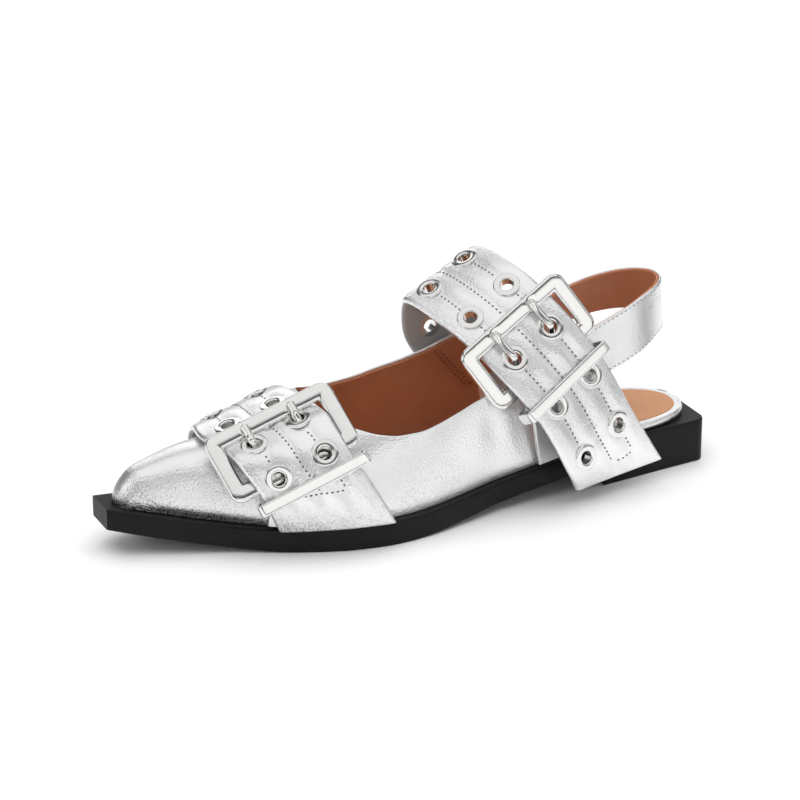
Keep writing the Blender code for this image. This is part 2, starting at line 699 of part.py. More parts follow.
def make_prongs(strap, fittings, parts):
    """Two bent prongs: from the heel bar under the strap, up through an eyelet, onto the front bar."""
    buckle = np.array(buckle_matrix(strap, fittings))
    eye = fittings.first_eyelet + fittings.prong_pair * fittings.eyelet_pitch
    bar = BUCKLE_LENGTH / 2 - BUCKLE_BAR / 2
    resting = BUCKLE_THICKNESS / 2 + GAP + PRONG_RADIUS
    for n, side in enumerate((0.5, -0.5), start=1):
        y = side * EYELET_SPREAD
        hinge = (buckle @ (-bar + BUCKLE_BAR / 2 + GAP + PRONG_RADIUS, y, 0.0, 1.0))[:3]
        inner_edge = (buckle @ (bar - BUCKLE_BAR / 2, y, resting, 1.0))[:3]
        tip = (buckle @ (bar + BUCKLE_BAR / 2, y, resting, 1.0))[:3]
        bend = [strap.point(eye + row.along, y, row.lift) for row in PRONG_BEND]
        points = smooth_path([hinge, *bend, inner_edge, tip], PRONG_SECTIONS)
        name = strap.name.replace("strap", f"prong_{n}")
        line = bpy.data.curves.new(name, "CURVE")
        line.dimensions = "3D"
        line.bevel_depth = PRONG_RADIUS * MM
        line.bevel_resolution = PRONG_ROUNDNESS
        line.use_fill_caps = True
        spline = line.splines.new("POLY")
        spline.points.add(len(points) - 1)
        spline.points.foreach_set("co", np.column_stack([points * MM, np.ones(len(points))]).ravel())
        line.materials.append(material("nickel"))
        parts.objects.link(bpy.data.objects.new(name, line))


def make_keeper(strap, fittings, parts):
    """Flat metal loop round the strap with its eyelets and the buckle tab under it."""
    high = STRAP_THICKNESS / 2 + 2 * GAP + EYELET_RIM
    low = -(STRAP_THICKNESS / 2 + 2 * GAP + TAB_THICKNESS + fittings.keeper_slack)
    section = [
        (0.0, -KEEPER_BAR / 2),
        (0.0, KEEPER_BAR / 2),
        (KEEPER_WALL, KEEPER_BAR / 2),
        (KEEPER_WALL, -KEEPER_BAR / 2),
    ]
    name = strap.name.replace("strap", "keeper")
    mesh = ring_mesh(name, KEEPER_WIDTH / 2, (high - low) / 2 + KEEPER_WALL, KEEPER_CORNER, section)
    place = np.array(strap.frame(fittings.keeper, lift=(high + low) / 2))
    made = add_object(name, mesh, "nickel", parts)
    made.matrix_world = in_metres(Matrix(place[:, [1, 2, 0, 3]]))
    return made


def make_buckle_tab(strap, fittings, foot, parts, rows=12, columns=5):
    """Short strap that holds the heel bar: under the tail from the bar, through the keeper, to the ledge."""
    lift = -(STRAP_THICKNESS / 2 + TAB_SLACK + TAB_THICKNESS / 2)
    top = fittings.front_bar - BUCKLE_LENGTH - GAP
    share = np.linspace(0.0, 1.0, columns)
    bands = [
        np.array([strap.point(along, (0.5 - at) * TAB_WIDTH, lift) for at in share])
        for along in (top, fittings.keeper, fittings.keeper - KEEPER_BAR / 2 - GAP)
    ]
    x = foot.front + (foot.back - foot.front) * share
    height = sole_top(x) + GAP + TAB_THICKNESS / 2
    on_ledge = np.column_stack([x, curve(SOLE, "lateral", x) - foot.inset, height])
    bands += [bands[-1] + (on_ledge - bands[-1]) * down for down in TAB_EASING]
    grid = smooth_path(np.reshape(bands, (len(bands), -1)), rows).reshape(rows, columns, 3)
    bearing = last_side(grid[..., 0], grid[..., 2], "lateral", -(TAB_THICKNESS / 2 + 2 * GAP))
    grid[..., 1] = np.maximum(grid[..., 1], bearing)
    half = surface_normals(grid) * TAB_THICKNESS / 2
    name = strap.name.replace("strap", "buckle_tab")
    return add_object(name, wall_mesh(name, grid + half, grid - half), "silver_leather", parts)


def stand_on_floor(parts, cutters):
    """Hang every object on one root that puts the middle of the shoe's box over the origin."""
    members = [*parts.objects, *cutters.objects]
    bpy.context.view_layer.update()
    depsgraph = bpy.context.evaluated_depsgraph_get()
    lows = []
    highs = []
    for made in parts.objects:
        shown = made.evaluated_get(depsgraph)
        mesh = shown.to_mesh()
        flat = np.empty(3 * len(mesh.vertices))
        mesh.vertices.foreach_get("co", flat)
        world = np.array(shown.matrix_world)
        points = flat.reshape(-1, 3) @ world[:3, :3].T + world[:3, 3]
        lows.append(points.min(axis=0))
        highs.append(points.max(axis=0))
        shown.to_mesh_clear()
    low = np.min(lows, axis=0)
    high = np.max(highs, axis=0)
    root = bpy.data.objects.new("shoe_root", None)
    parts.objects.link(root)
    for made in members:
        made.parent = root
    root.location = (-(low[0] + high[0]) / 2, -(low[1] + high[1]) / 2, -low[2])


def build():
    for old in list(bpy.data.objects):
        bpy.data.objects.remove(old)
    parts = bpy.data.collections.new("buckle_slingback_flat")
    bpy.context.scene.collection.children.link(parts)
    make_outsole(parts)
    make_foot_bed(parts, "insole", "silver_leather", 0.0, GAP, INSOLE_THICKNESS)
    make_foot_bed(parts, "sock", "tan_leather", SOCK_INSET, 2 * GAP + INSOLE_THICKNESS, SOCK_THICKNESS)
    make_upper(parts)
    make_slingback(parts)
    cutters = bpy.data.collections.new("cutters")
    bpy.context.scene.collection.children.link(cutters)
    vamp = Strap("vamp_strap", vamp_strap_grid(), VAMP_SQUARENESS)
    instep = Strap("instep_strap", instep_strap_grid(), INSTEP_SQUARENESS)
    for strap, fittings, foot, rows in (
        (vamp, VAMP_FITTINGS, VAMP_TAB, VAMP_STRAP_ROWS),
        (instep, INSTEP_FITTINGS, INSTEP_TAB, INSTEP_STRAP_ROWS),
    ):
        make_strap(strap, fittings, rows, parts, cutters)
        make_eyelets(strap, fittings, parts)
        make_buckle_frame(strap, fittings, parts)
        make_prongs(strap, fittings, parts)
        make_keeper(strap, fittings, parts)
        make_buckle_tab(strap, fittings, foot, parts)
    stand_on_floor(parts, cutters)


build()
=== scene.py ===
# %% [markdown]
# A pointed slingback flat in silver leather, with two padded straps that close with metal buckles.
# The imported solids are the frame. Every piece that shows is rebuilt here as a finer surface in the same
# place: a padded strap or a lasted upper needs thousands of small faces, which a solid made for checks
# does not have.

from collections import namedtuple

import bmesh
import bpy
import numpy as np
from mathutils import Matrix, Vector


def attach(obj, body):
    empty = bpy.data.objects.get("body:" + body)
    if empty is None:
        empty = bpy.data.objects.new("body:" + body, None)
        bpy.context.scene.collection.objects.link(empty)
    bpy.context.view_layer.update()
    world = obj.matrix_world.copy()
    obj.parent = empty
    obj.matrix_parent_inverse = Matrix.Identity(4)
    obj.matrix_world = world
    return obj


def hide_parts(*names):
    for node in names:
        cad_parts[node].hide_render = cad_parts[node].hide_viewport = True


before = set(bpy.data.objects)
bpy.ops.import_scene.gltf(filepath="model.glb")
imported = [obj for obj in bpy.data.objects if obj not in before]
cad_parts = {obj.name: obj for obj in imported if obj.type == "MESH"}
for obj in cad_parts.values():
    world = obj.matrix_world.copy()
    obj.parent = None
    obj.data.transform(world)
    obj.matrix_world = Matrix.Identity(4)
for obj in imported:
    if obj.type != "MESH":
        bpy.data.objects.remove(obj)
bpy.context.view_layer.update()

# %% [markdown]
# Shapes are worked out in millimetres, on axes that start at the middle of the sole, as a pattern cutter
# would draw them. One shift then puts them where the solids stand, and one scale makes them metres.

# %% Units and where the shoe stands
MM = 0.001
SHOE_SHIFT = np.array([0.5, -7.1416, 0.0])
scene = bpy.context.scene


def placed(points):
    """Millimetre points on the shoe's own axes as metres in the frame."""
    return (np.asarray(points, float) + SHOE_SHIFT) * MM


print("shift", SHOE_SHIFT)

# %% [markdown]
# The camera stands where the photographer stood: in front of the outer side, a little above, far back with
# a long lens, so the shoe hardly narrows with distance. It could be placed by eye, but two angles and a
# distance say where it is and are easy to change. It looks at the middle of the one shoe.

# %% Camera
CAMERA_TURN = np.radians(23.5)
CAMERA_RAISE = np.radians(20.5)
CAMERA_DISTANCE = 1300.0
CAMERA_TARGET = np.array([-5.5, 14.0, 0.0])
TARGET_PIXEL = np.array([500.0, 600.0])
SHOE_MIDDLE_PIXEL = np.array([475.0, 497.0])
IMAGE_SIZE = 800.0
FOCAL_PIXELS = 3120.0
SENSOR_WIDTH = 36.0
CLIP_NEAR = 0.05
CLIP_FAR = 50.0


def picture_offset(pixel):
    """How far a pixel lies right of the picture's middle and below it, at a distance of 1."""
    return (pixel - IMAGE_SIZE / 2) / FOCAL_PIXELS


def add_camera():
    """Camera that sees the target at its pixel, turned until the shoe's middle is the picture's middle."""
    right = np.array([-np.cos(CAMERA_TURN), np.sin(CAMERA_TURN), 0.0])
    level = np.array([np.sin(CAMERA_TURN), np.cos(CAMERA_TURN), 0.0])
    back = np.cos(CAMERA_RAISE) * level + np.array([0.0, 0.0, np.sin(CAMERA_RAISE)])
    up = np.cross(back, right)
    across, down = picture_offset(TARGET_PIXEL)
    spot = CAMERA_TARGET + CAMERA_DISTANCE * (back - across * right + down * up)
    across, down = picture_offset(SHOE_MIDDLE_PIXEL)
    look = across * right - down * up - back
    lens = bpy.data.cameras.new("photo_camera")
    lens.sensor_width = SENSOR_WIDTH
    lens.lens = FOCAL_PIXELS / IMAGE_SIZE * SENSOR_WIDTH
    lens.clip_start = CLIP_NEAR
    lens.clip_end = CLIP_FAR
    camera = bpy.data.objects.new("photo_camera", lens)
    camera.location = placed(spot)
    camera.rotation_mode = "QUATERNION"
    camera.rotation_quaternion = Vector(look).to_track_quat("-Z", "Y")
    scene.collection.objects.link(camera)
    scene.camera = camera
    return camera


print("lens", round(add_camera().data.lens, 1), "mm")

# %% [markdown]
# A finish is a tree of nodes. It could be wired by hand in the shader editor, but arithmetic is easier to
# read: the small class below wraps one output of a node, and a sum or product on it adds a Math node.


# %% Shader arithmetic
class Value:
    """One number in a material's node tree."""

    def __init__(self, finish, socket):
        self.finish = finish
        self.socket = socket

    def math(self, operation, first, second):
        """A Math node on two values or numbers."""
        return self.finish.node("ShaderNodeMath", {"operation": operation}, {0: first, 1: second}, "Value")

    def __add__(self, other):
        return self.math("ADD", self, other)

    __radd__ = __add__

    def __sub__(self, other):
        return self.math("SUBTRACT", self, other)

    def __rsub__(self, other):
        return self.math("SUBTRACT", other, self)

    def __mul__(self, other):
        return self.math("MULTIPLY", self, other)

    __rmul__ = __mul__


print("shader arithmetic ready")

# %% [markdown]
# Every finish here starts from the Principled shader, which covers leather, rubber and metal alike. One
# method adds any other node, and short methods name the patterns that this shoe needs. They all read Object
# coordinates, so a pattern stays on its piece. A Mix node has sockets of one name for numbers, vectors and
# colours, so those of its colours are told apart by number.

# %% A finish and its patterns
PEBBLE_SMOOTHNESS = 0.6
MIX_SHARE = 0
MIX_LOW = 6
MIX_HIGH = 7
MIX_COLOUR = 2


class Finish:
    """A material with its Principled shader and one method that adds any other node."""

    def __init__(self, name, **constants):
        self.material = bpy.data.materials.new(name)
        self.material.use_nodes = True
        self.tree = self.material.node_tree
        self.shader = self.tree.nodes["Principled BSDF"]
        self.surface(**constants)

    def feed(self, socket, value):
        """A link where the value comes from a node, and a plain number or colour otherwise."""
        if isinstance(value, Value):
            self.tree.links.new(value.socket, socket)
        else:
            socket.default_value = value

    def node(self, kind, settings, sockets, output):
        """One output of a new node, whose settings are made before its sockets are filled."""
        made = self.tree.nodes.new(kind)
        for key, value in settings.items():
            setattr(made, key, value)
        for key, value in sockets.items():
            self.feed(made.inputs[key], value)
        return Value(self, made.outputs[output])

    def surface(self, **sockets):
        """The material with its shader's sockets filled, where base_color stands for Base Color."""
        for words, value in sockets.items():
            name = words.replace("_", " ").title().replace("Ior", "IOR")
            self.feed(self.shader.inputs[name], value)
        return self.material

    def place(self):
        """Object coordinates of the point that is shaded."""
        return self.node("ShaderNodeTexCoord", {}, {}, "Object")

    def noise(self, scale, detail=2.0):
        """Soft clouds between 0 and 1, with so many to a metre."""
        sockets = {"Vector": self.place(), "Scale": scale, "Detail": detail}
        return self.node("ShaderNodeTexNoise", {}, sockets, "Fac")

    def pebbles(self, scale):
        """Distance to the nearest pebble's middle, smoothed where two pebbles meet."""
        sockets = {"Vector": self.place(), "Scale": scale, "Smoothness": PEBBLE_SMOOTHNESS}
        return self.node("ShaderNodeTexVoronoi", {"feature": "SMOOTH_F1"}, sockets, "Distance")

    def pits(self, scale):
        """Distance to the nearest pebble's middle, which is largest in the pits between pebbles."""
        sockets = {"Vector": self.place(), "Scale": scale}
        return self.node("ShaderNodeTexVoronoi", {"feature": "F1"}, sockets, "Distance")

    def between(self, value, low, high):
        """0 below low, 1 above high, and a smooth step between them."""
        sockets = {"Value": value, "From Min": low, "From Max": high}
        return self.node("ShaderNodeMapRange", {"interpolation_type": "SMOOTHSTEP"}, sockets, "Result")

    def marked(self, attribute):
        """A number stored at the points of a piece, and 0 on a piece that has none."""
        return self.node("ShaderNodeAttribute", {"attribute_name": attribute}, {}, "Fac")

    def colours(self, share, low, high):
        """A mix of two colours, from low at a share of 0 to high at 1."""
        sockets = {MIX_SHARE: share, MIX_LOW: (*low, 1.0), MIX_HIGH: (*high, 1.0)}
        return self.node("ShaderNodeMix", {"data_type": "RGBA"}, sockets, MIX_COLOUR)

    def bump(self, height, distance, strength):
        """A normal tilted by the slope of a height, which is given in units of the distance."""
        sockets = {"Height": height, "Distance": distance, "Strength": strength}
        return self.node("ShaderNodeBump", {}, sockets, "Normal")


print("finish ready")

# %% [markdown]
# Silver leather is leather with a metal foil pressed on it. It mirrors its surroundings like dull metal, but
# the grain breaks the reflection up. The pits between the pebbles get painted shade in random patches, and
# most near the sole, where painted shade stands for the dark sole that the foil mirrors. A photograph of
# leather would repeat over the shoe, so patterns without a repeat are used.

# %% Silver leather
PEBBLE_SCALE = 1300.0
PIT_SCALE = 1900.0
WAVE_SCALE = 70.0
GRAIN_PATCH_SCALE = 28.0
SHEEN_SCALE = 60.0
PIT_EDGE = (0.45, 0.85)
SHADED_PATCH_EDGE = (0.42, 0.75)
# Painted shade: how far the pits and the leather near the sole are darkened towards the dark foil colour.
PIT_SHADE = 0.26
SOLE_SHADE = 0.34
SOLE_PITS = 0.8
SHADED_FOIL = (0.10, 0.10, 0.105)
BRIGHT_FOIL = (0.94, 0.94, 0.947)
FOIL_RELIEF = 0.00016
SOLE_MARK = "near_sole"


def silver_leather():
    """Foil over grain: pebbles under a millimetre wide, and slow waves about a centimetre long.

    Painted shade: pits times grain patches, plus a shade and pits where the near-sole mark is stored.
    """
    finish = Finish("silver_foil_leather", metallic=0.93)
    grain = finish.pebbles(PEBBLE_SCALE)
    pits = finish.between(finish.pits(PIT_SCALE), *PIT_EDGE)
    waves = finish.noise(WAVE_SCALE, 1.0)
    grain_patches = finish.noise(GRAIN_PATCH_SCALE, 1.0)
    # Painted shade: pits darkened in grain patches, and more near the sole, for the dark sole mirrored there.
    shaded_pits = finish.between(grain_patches, *SHADED_PATCH_EDGE) * pits * PIT_SHADE
    painted_shade = shaded_pits + finish.marked(SOLE_MARK) * (SOLE_SHADE + SOLE_PITS * pits)
    sheen = 0.94 + 0.06 * finish.noise(SHEEN_SCALE)
    height = (0.3 + 2.6 * grain_patches) * grain + 0.25 * waves
    return finish.surface(
        base_color=finish.colours(sheen - painted_shade, SHADED_FOIL, BRIGHT_FOIL),
        roughness=0.26 + 0.08 * grain_patches + 0.06 * grain,
        normal=finish.bump(height, FOIL_RELIEF, 0.55),
    )


silver = silver_leather()
print("finish", silver.name)

# %% [markdown]
# The lining is thin brown leather, the sock that the foot stands on is a lighter tan, and the straps are
# lined in grey, kept dark as painted shade for the shaded silver of their inner face. All three are dull,
# with a grain too fine to see as single pebbles, so one function makes them from two close shades each.

# %% Lining and sock leather
FINE_GRAIN_SCALE = 1700.0
SHADE_SCALE = 90.0
DULL_RELIEF = 0.00007


def dull_leather(name, dark, light, rough):
    """Leather without foil: two close shades mixed by soft noise, over a fine grain."""
    finish = Finish(name)
    patches = finish.noise(SHADE_SCALE, 4.0)
    grain = finish.pebbles(FINE_GRAIN_SCALE)
    return finish.surface(
        base_color=finish.colours(patches, dark, light),
        roughness=rough + 0.12 * patches,
        normal=finish.bump(grain + 0.6 * patches, DULL_RELIEF, 0.5),
    )


lining = dull_leather("brown_lining_leather", (0.41, 0.145, 0.066), (0.51, 0.19, 0.092), 0.42)
sock_leather = dull_leather("tan_sock_leather", (0.50, 0.225, 0.095), (0.60, 0.29, 0.136), 0.45)
# Painted shade: the strap lining's grey is dark to stand for the shaded silver of the strap's inner face.
pale_lining = dull_leather("pale_strap_lining", (0.36, 0.355, 0.35), (0.46, 0.455, 0.45), 0.4)
print("finishes", lining.name, sock_leather.name, pale_lining.name)

# %% [markdown]
# The unit sole is moulded rubber: nearly black, with a satin skin that has a little texture. The hardware is
# nickel plate, bright but a little uneven from polishing. Thread is grey on the straps, made dark as painted
# shade for its needle holes and shadows, paler on the sling and brown on the lining. Plain colours would look
# like plastic, so each finish varies a little over its piece.

# %% Rubber, nickel and thread
RUBBER_SHADE_SCALE = 45.0
RUBBER_RELIEF = 0.00008
POLISH_SCALE = 240.0
POLISH_RELIEF = 0.00003
TWIST_SCALE = 2600.0


def moulded_rubber():
    """Two near blacks mixed by soft noise, over a fine pebble."""
    finish = Finish("black_moulded_rubber", specular_ior_level=0.16)
    patches = finish.noise(RUBBER_SHADE_SCALE, 3.0)
    return finish.surface(
        base_color=finish.colours(patches, (0.005, 0.005, 0.0055), (0.010, 0.010, 0.011)),
        roughness=0.36 + 0.14 * patches,
        normal=finish.bump(finish.pebbles(PEBBLE_SCALE), RUBBER_RELIEF, 0.45),
    )


def nickel_plate():
    """A warm bright metal, whose tone, gloss and relief follow one soft noise."""
    finish = Finish("nickel_plate", metallic=1.0)
    patches = finish.noise(POLISH_SCALE, 3.0)
    return finish.surface(
        base_color=finish.colours(patches, (0.80, 0.795, 0.78), (0.87, 0.865, 0.85)),
        roughness=0.13 + 0.06 * patches,
        normal=finish.bump(patches, POLISH_RELIEF, 0.3),
    )


def twisted_thread(name, dark, light):
    """Two shades mixed by a noise as fine as the thread's twist."""
    finish = Finish(name)
    twist = finish.noise(TWIST_SCALE, 1.0)
    return finish.surface(base_color=finish.colours(twist, dark, light), roughness=0.55 + 0.1 * twist)


rubber = moulded_rubber()
nickel = nickel_plate()
# Painted shade: the strap thread is made near black for its needle holes and the shadows beside it.
thread = twisted_thread("grey_thread", (0.05, 0.05, 0.055), (0.14, 0.14, 0.15))
pale_thread = twisted_thread("pale_thread", (0.2, 0.2, 0.21), (0.36, 0.36, 0.37))
brown_thread = twisted_thread("brown_thread", (0.2, 0.06, 0.026), (0.28, 0.09, 0.04))
print("finishes", rubber.name, nickel.name, thread.name, pale_thread.name, brown_thread.name)

# %% [markdown]
# Every piece below is a stack of rings: closed loops of points, one after another. A sole is a stack of
# sections, a strap is a stack of flat loops along its run. Modelling by hand could give the same faces, but
# a formula keeps every size in one place. The first helpers number the four-sided faces between rings.


# %% From rings of points to faces
def ring_quads(rings, points, wrap=False):
    """Corner numbers of the quads between neighbouring rings; each ring is closed on itself."""
    ring = np.arange(rings if wrap else rings - 1)[:, None]
    point = np.arange(points)[None, :]
    after = (ring + 1) % rings
    beside = (point + 1) % points
    corners = (
        ring * points + point,
        ring * points + beside,
        after * points + beside,
        after * points + point,
    )
    return np.stack(np.broadcast_arrays(*corners), axis=-1).reshape(-1, 4)


def copied_quads(quads, copies, points):
    """The quads of one shape for many copies of it, each of so many points, one copy after another."""
    return (quads[None] + (np.arange(copies) * points)[:, None, None]).reshape(-1, 4)


def with_poles(rings):
    """Rings with a single point added at each end, which closes the ends as fans."""
    first = np.broadcast_to(rings[:1].mean(axis=1, keepdims=True), rings[:1].shape)
    last = np.broadcast_to(rings[-1:].mean(axis=1, keepdims=True), rings[-1:].shape)
    return np.concatenate([first, rings, last])


print("face helpers ready")

# %% [markdown]
# A piece of the shoe is a mesh with a finish, riding on the one body of the frame. The volume that its faces
# enclose tells whether they point outwards: if it is negative, all of them are turned. Points that coincide
# are welded, and only edges sharper than the shoe's soft ones stay hard.

# %% From faces to a piece
MERGE = 0.002
SHARP_EDGE = np.radians(42.0)


def add_mesh(name, points, quads, finish, nodes=()):
    """A piece from points and quads; the volume is a sum of triple products over two triangles a quad."""
    corners = points[quads]
    first = np.einsum("ij,ij->i", corners[:, 0], np.cross(corners[:, 1], corners[:, 2]))
    second = np.einsum("ij,ij->i", corners[:, 0], np.cross(corners[:, 2], corners[:, 3]))
    if (first + second).sum() < 0:
        quads = quads[:, ::-1]
    mesh = bpy.data.meshes.new(name)
    mesh.from_pydata(placed(points).tolist(), [], quads.tolist())
    work = bmesh.new()
    work.from_mesh(mesh)
    bmesh.ops.remove_doubles(work, verts=work.verts, dist=MERGE * MM)
    work.to_mesh(mesh)
    work.free()
    mesh.materials.append(finish)
    mesh.shade_smooth()
    mesh.set_sharp_from_angle(angle=SHARP_EDGE)
    piece = bpy.data.objects.new(name, mesh)
    scene.collection.objects.link(piece)
    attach(piece, "root")
    if nodes:
        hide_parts(*nodes)
    print(name, len(mesh.polygons), "faces")
    return piece


def add_rings(name, rings, finish, nodes=(), wrap=False, keep=None):
    """A piece from a stack of rings, without the quads whose middles the keep function drops."""
    quads = ring_quads(rings.shape[0], rings.shape[1], wrap)
    points = rings.reshape(-1, 3)
    if keep is not None:
        quads = quads[keep(points[quads].mean(axis=1))]
    return add_mesh(name, points, quads, finish, nodes)


print("piece helpers ready")

# %% [markdown]
# Leather has no sharp edge: it is rounded all round. A Bevel modifier could do that, but these helpers work
# the border into the surface itself, with points that crowd together where it bends.

# %% Borders and directions
BORDER_POINTS = 6
TINY = 1e-9


def share_between(x, start, full):
    """0 at start and before it, 1 at full and past it, and a straight line between them."""
    return np.clip((x - start) / (full - start), 0.0, 1.0)


def round_ends(edge, inner):
    """Shares from 0 to 1 that crowd together within an edge at both ends, for a rounded border."""
    crowd = edge * (1 - np.cos(np.linspace(0.0, np.pi / 2, BORDER_POINTS)))
    return np.concatenate([crowd, np.linspace(edge, 1 - edge, inner)[1:-1], 1 - crowd[::-1]])


def rounding(distance, radius):
    """Height of a quarter circle that starts at an edge and is full one radius in from it."""
    return np.sqrt(np.clip(1 - (1 - share_between(distance, 0.0, radius)) ** 2, 0.0, 1.0))


def unit(vectors):
    """The same directions with a length of 1."""
    return vectors / np.maximum(np.linalg.norm(vectors, axis=-1, keepdims=True), TINY)


def surface_normals(grid):
    """Directions square to a grid of points: the cross product of its two slopes."""
    return unit(np.cross(np.gradient(grid, axis=0), np.gradient(grid, axis=1)))


def sheet_rings(outer, inner):
    """Rings of a wall between two grids: along the outer face and back along the inner one."""
    return np.concatenate([outer, inner[:, ::-1]], axis=1)


print("border helpers ready")

# %% [markdown]
# A shoe is drawn from a few measured sections. A table holds a section on each row, and one function turns
# any of its columns into a smooth curve that never swings past the rows it goes through. A plain spline
# would swing past them and put bumps into the leather.


# %% Curves through tables
def curve(rows, column, x):
    """A column of a table as a smooth function of x: cubic pieces whose slopes are harmonic means."""
    x = np.asarray(x, float)
    knots = np.array([row.x for row in rows])
    values = np.array([getattr(row, column) for row in rows])
    step = np.diff(knots)
    slope = np.diff(values) / step
    same_way = slope[:-1] * slope[1:] > 0
    mean = 2 * slope[:-1] * slope[1:] / np.where(same_way, slope[:-1] + slope[1:], 1.0)
    tangent = np.concatenate([slope[:1], np.where(same_way, mean, 0.0), slope[-1:]])
    i = np.clip(np.searchsorted(knots, x) - 1, 0, len(step) - 1)
    t = (x - knots[i]) / step[i]
    inside = np.clip(t, 0.0, 1.0)
    low = (1 + 2 * inside) * (1 - inside) ** 2 * values[i] + inside * (1 - inside) ** 2 * step[i] * tangent[i]
    high = inside**2 * (3 - 2 * inside) * values[i + 1] + inside**2 * (inside - 1) * step[i] * tangent[i + 1]
    before = np.where(t < 0, t * step[i] * tangent[i], 0.0)
    after = np.where(t > 1, (t - 1) * step[i] * tangent[i + 1], 0.0)
    return low + high + before + after


print("curve helper ready")

# %% [markdown]
# Straps and wires follow paths in space instead. A path goes through a few points as a Catmull-Rom curve,
# and is then read at even steps of its length, so that faces along it are all of one size.

# %% Paths through points
FINE_STEPS = 24


def run_length(points):
    """Length of a line of points from its start to each of them."""
    return np.concatenate([[0.0], np.cumsum(np.linalg.norm(np.diff(points, axis=0), axis=1))])


def read_along(places, length, values):
    """Rows of values at places along a length, straight between neighbouring rows."""
    return np.stack([np.interp(places, length, column) for column in values.T], axis=1)


def smooth_path(rows, count):
    """Points along a Catmull-Rom curve through the rows of an array, evenly spaced by length."""
    rows = np.asarray(rows, float)
    padded = np.concatenate([2 * rows[:1] - rows[1:2], rows, 2 * rows[-1:] - rows[-2:-1]])
    t = np.linspace(0.0, 1.0, FINE_STEPS, endpoint=False)[None, :, None]
    p0, p1, p2, p3 = (padded[i : len(rows) - 1 + i, None] for i in range(4))
    cubic = 2 * p1 + (p2 - p0) * t + (2 * p0 - 5 * p1 + 4 * p2 - p3) * t**2
    fine = 0.5 * (cubic + (3 * p1 - p0 - 3 * p2 + p3) * t**3)
    fine = np.concatenate([fine.reshape(-1, rows.shape[1]), rows[-1:]])
    length = run_length(fine)
    return read_along(np.linspace(0.0, length[-1], count), length, fine)


print("path helpers ready")

# %% [markdown]
# The unit sole is one moulding: a thin wall under the forefoot that springs up at the toe, an arch, and a
# low square heel. It could be cut from a block with booleans, but sections from a table follow its outline
# with even faces. First come its outline and its two heights.

# %% Outline of the sole
HEEL_BACK = -134.0
TOE_TIP = 133.0
HEEL_BREAST = -79.0
HEEL_SEAT_RISE = 10.0
HEEL_CORNER = 4.0
TOE_SPRING = 11.6
SPRING_START = 65.0
SPRING_POWER = 1.35
ARCH_START = 15.0
ARCH_POWER = 1.2
SIDE_SIGN = {"lateral": 1.0, "medial": -1.0}
SoleRow = namedtuple("SoleRow", "x lateral medial wall")
SOLE = [
    SoleRow(-134.0, 23.2, -15.0, 9.0),
    SoleRow(-105.0, 27.0, -20.5, 9.0),
    SoleRow(-79.0, 30.5, -23.0, 9.0),
    SoleRow(-55.0, 32.6, -23.5, 9.0),
    SoleRow(-31.5, 35.5, -25.5, 9.0),
    SoleRow(-10.5, 41.0, -29.5, 9.6),
    SoleRow(7.5, 45.4, -33.5, 10.2),
    SoleRow(23.5, 47.0, -36.0, 10.5),
    SoleRow(40.5, 45.0, -36.0, 10.5),
    SoleRow(52.0, 41.5, -34.0, 10.3),
    SoleRow(66.5, 35.5, -30.3, 9.8),
    SoleRow(83.5, 28.0, -25.0, 9.3),
    SoleRow(98.5, 22.0, -20.0, 9.1),
    SoleRow(112.5, 16.8, -15.3, 9.2),
    SoleRow(133.0, 8.3, -8.3, 9.0),
]


def sole_rise(x):
    """Height of the underside in front of the heel: toe spring and arch, each a power curve."""
    spring = np.clip((x - SPRING_START) / (TOE_TIP - SPRING_START), 0.0, None) ** SPRING_POWER
    arch = share_between(x, ARCH_START, HEEL_BREAST) ** ARCH_POWER
    return TOE_SPRING * spring + HEEL_SEAT_RISE * arch


def sole_top(x):
    """Height of the ledge that carries the upper and the insole."""
    return sole_rise(x) + curve(SOLE, "wall", x)


def sole_side(x, side):
    """Half outline of the sole with its rounded back corners."""
    into = np.clip(HEEL_CORNER - (x - HEEL_BACK), 0.0, HEEL_CORNER)
    return curve(SOLE, side, x) - SIDE_SIGN[side] * (HEEL_CORNER - np.sqrt(HEEL_CORNER**2 - into**2))


print("ledge at heel and toe", sole_top(np.array([HEEL_BACK, TOE_TIP])).round(1))

# %% [markdown]
# Sections across the sole are rectangles with four round edges, and the toe is cut off square. The underside
# has shallow ribs for grip, cut by a clipped wave so that their lands stay flat.

# %% Sole
BREAST_SLANT = 2.5
SOLE_EDGE = 0.8
SOLE_EDGE_POINTS = 5
SOLE_FLAT_POINTS = 41
RIB_PITCH = 5.0
RIB_DEPTH = 0.7
RIB_MARGIN = 7.0
RIB_STEEPNESS = 1.4
Tread = namedtuple("Tread", "back front")
TREADS = [Tread(-127.0, -87.0), Tread(-4.0, 108.0)]
SoleStations = namedtuple("SoleStations", "corner heel breast front")
SOLE_STATIONS = SoleStations(10, 64, 4, 300)


def sole_stations():
    """Places along the sole, close together round its back corners and at the breast of the heel."""
    count = SOLE_STATIONS
    breast_foot = HEEL_BREAST - BREAST_SLANT
    corner = HEEL_BACK + HEEL_CORNER * (1 - np.cos(np.linspace(0.0, np.pi / 2, count.corner)))
    heel = np.linspace(corner[-1], breast_foot, count.heel)[1:]
    breast = np.linspace(breast_foot, HEEL_BREAST, count.breast)[1:]
    front = np.linspace(HEEL_BREAST, TOE_TIP, count.front)[1:]
    return np.concatenate([corner, heel, breast, front])[:, None]


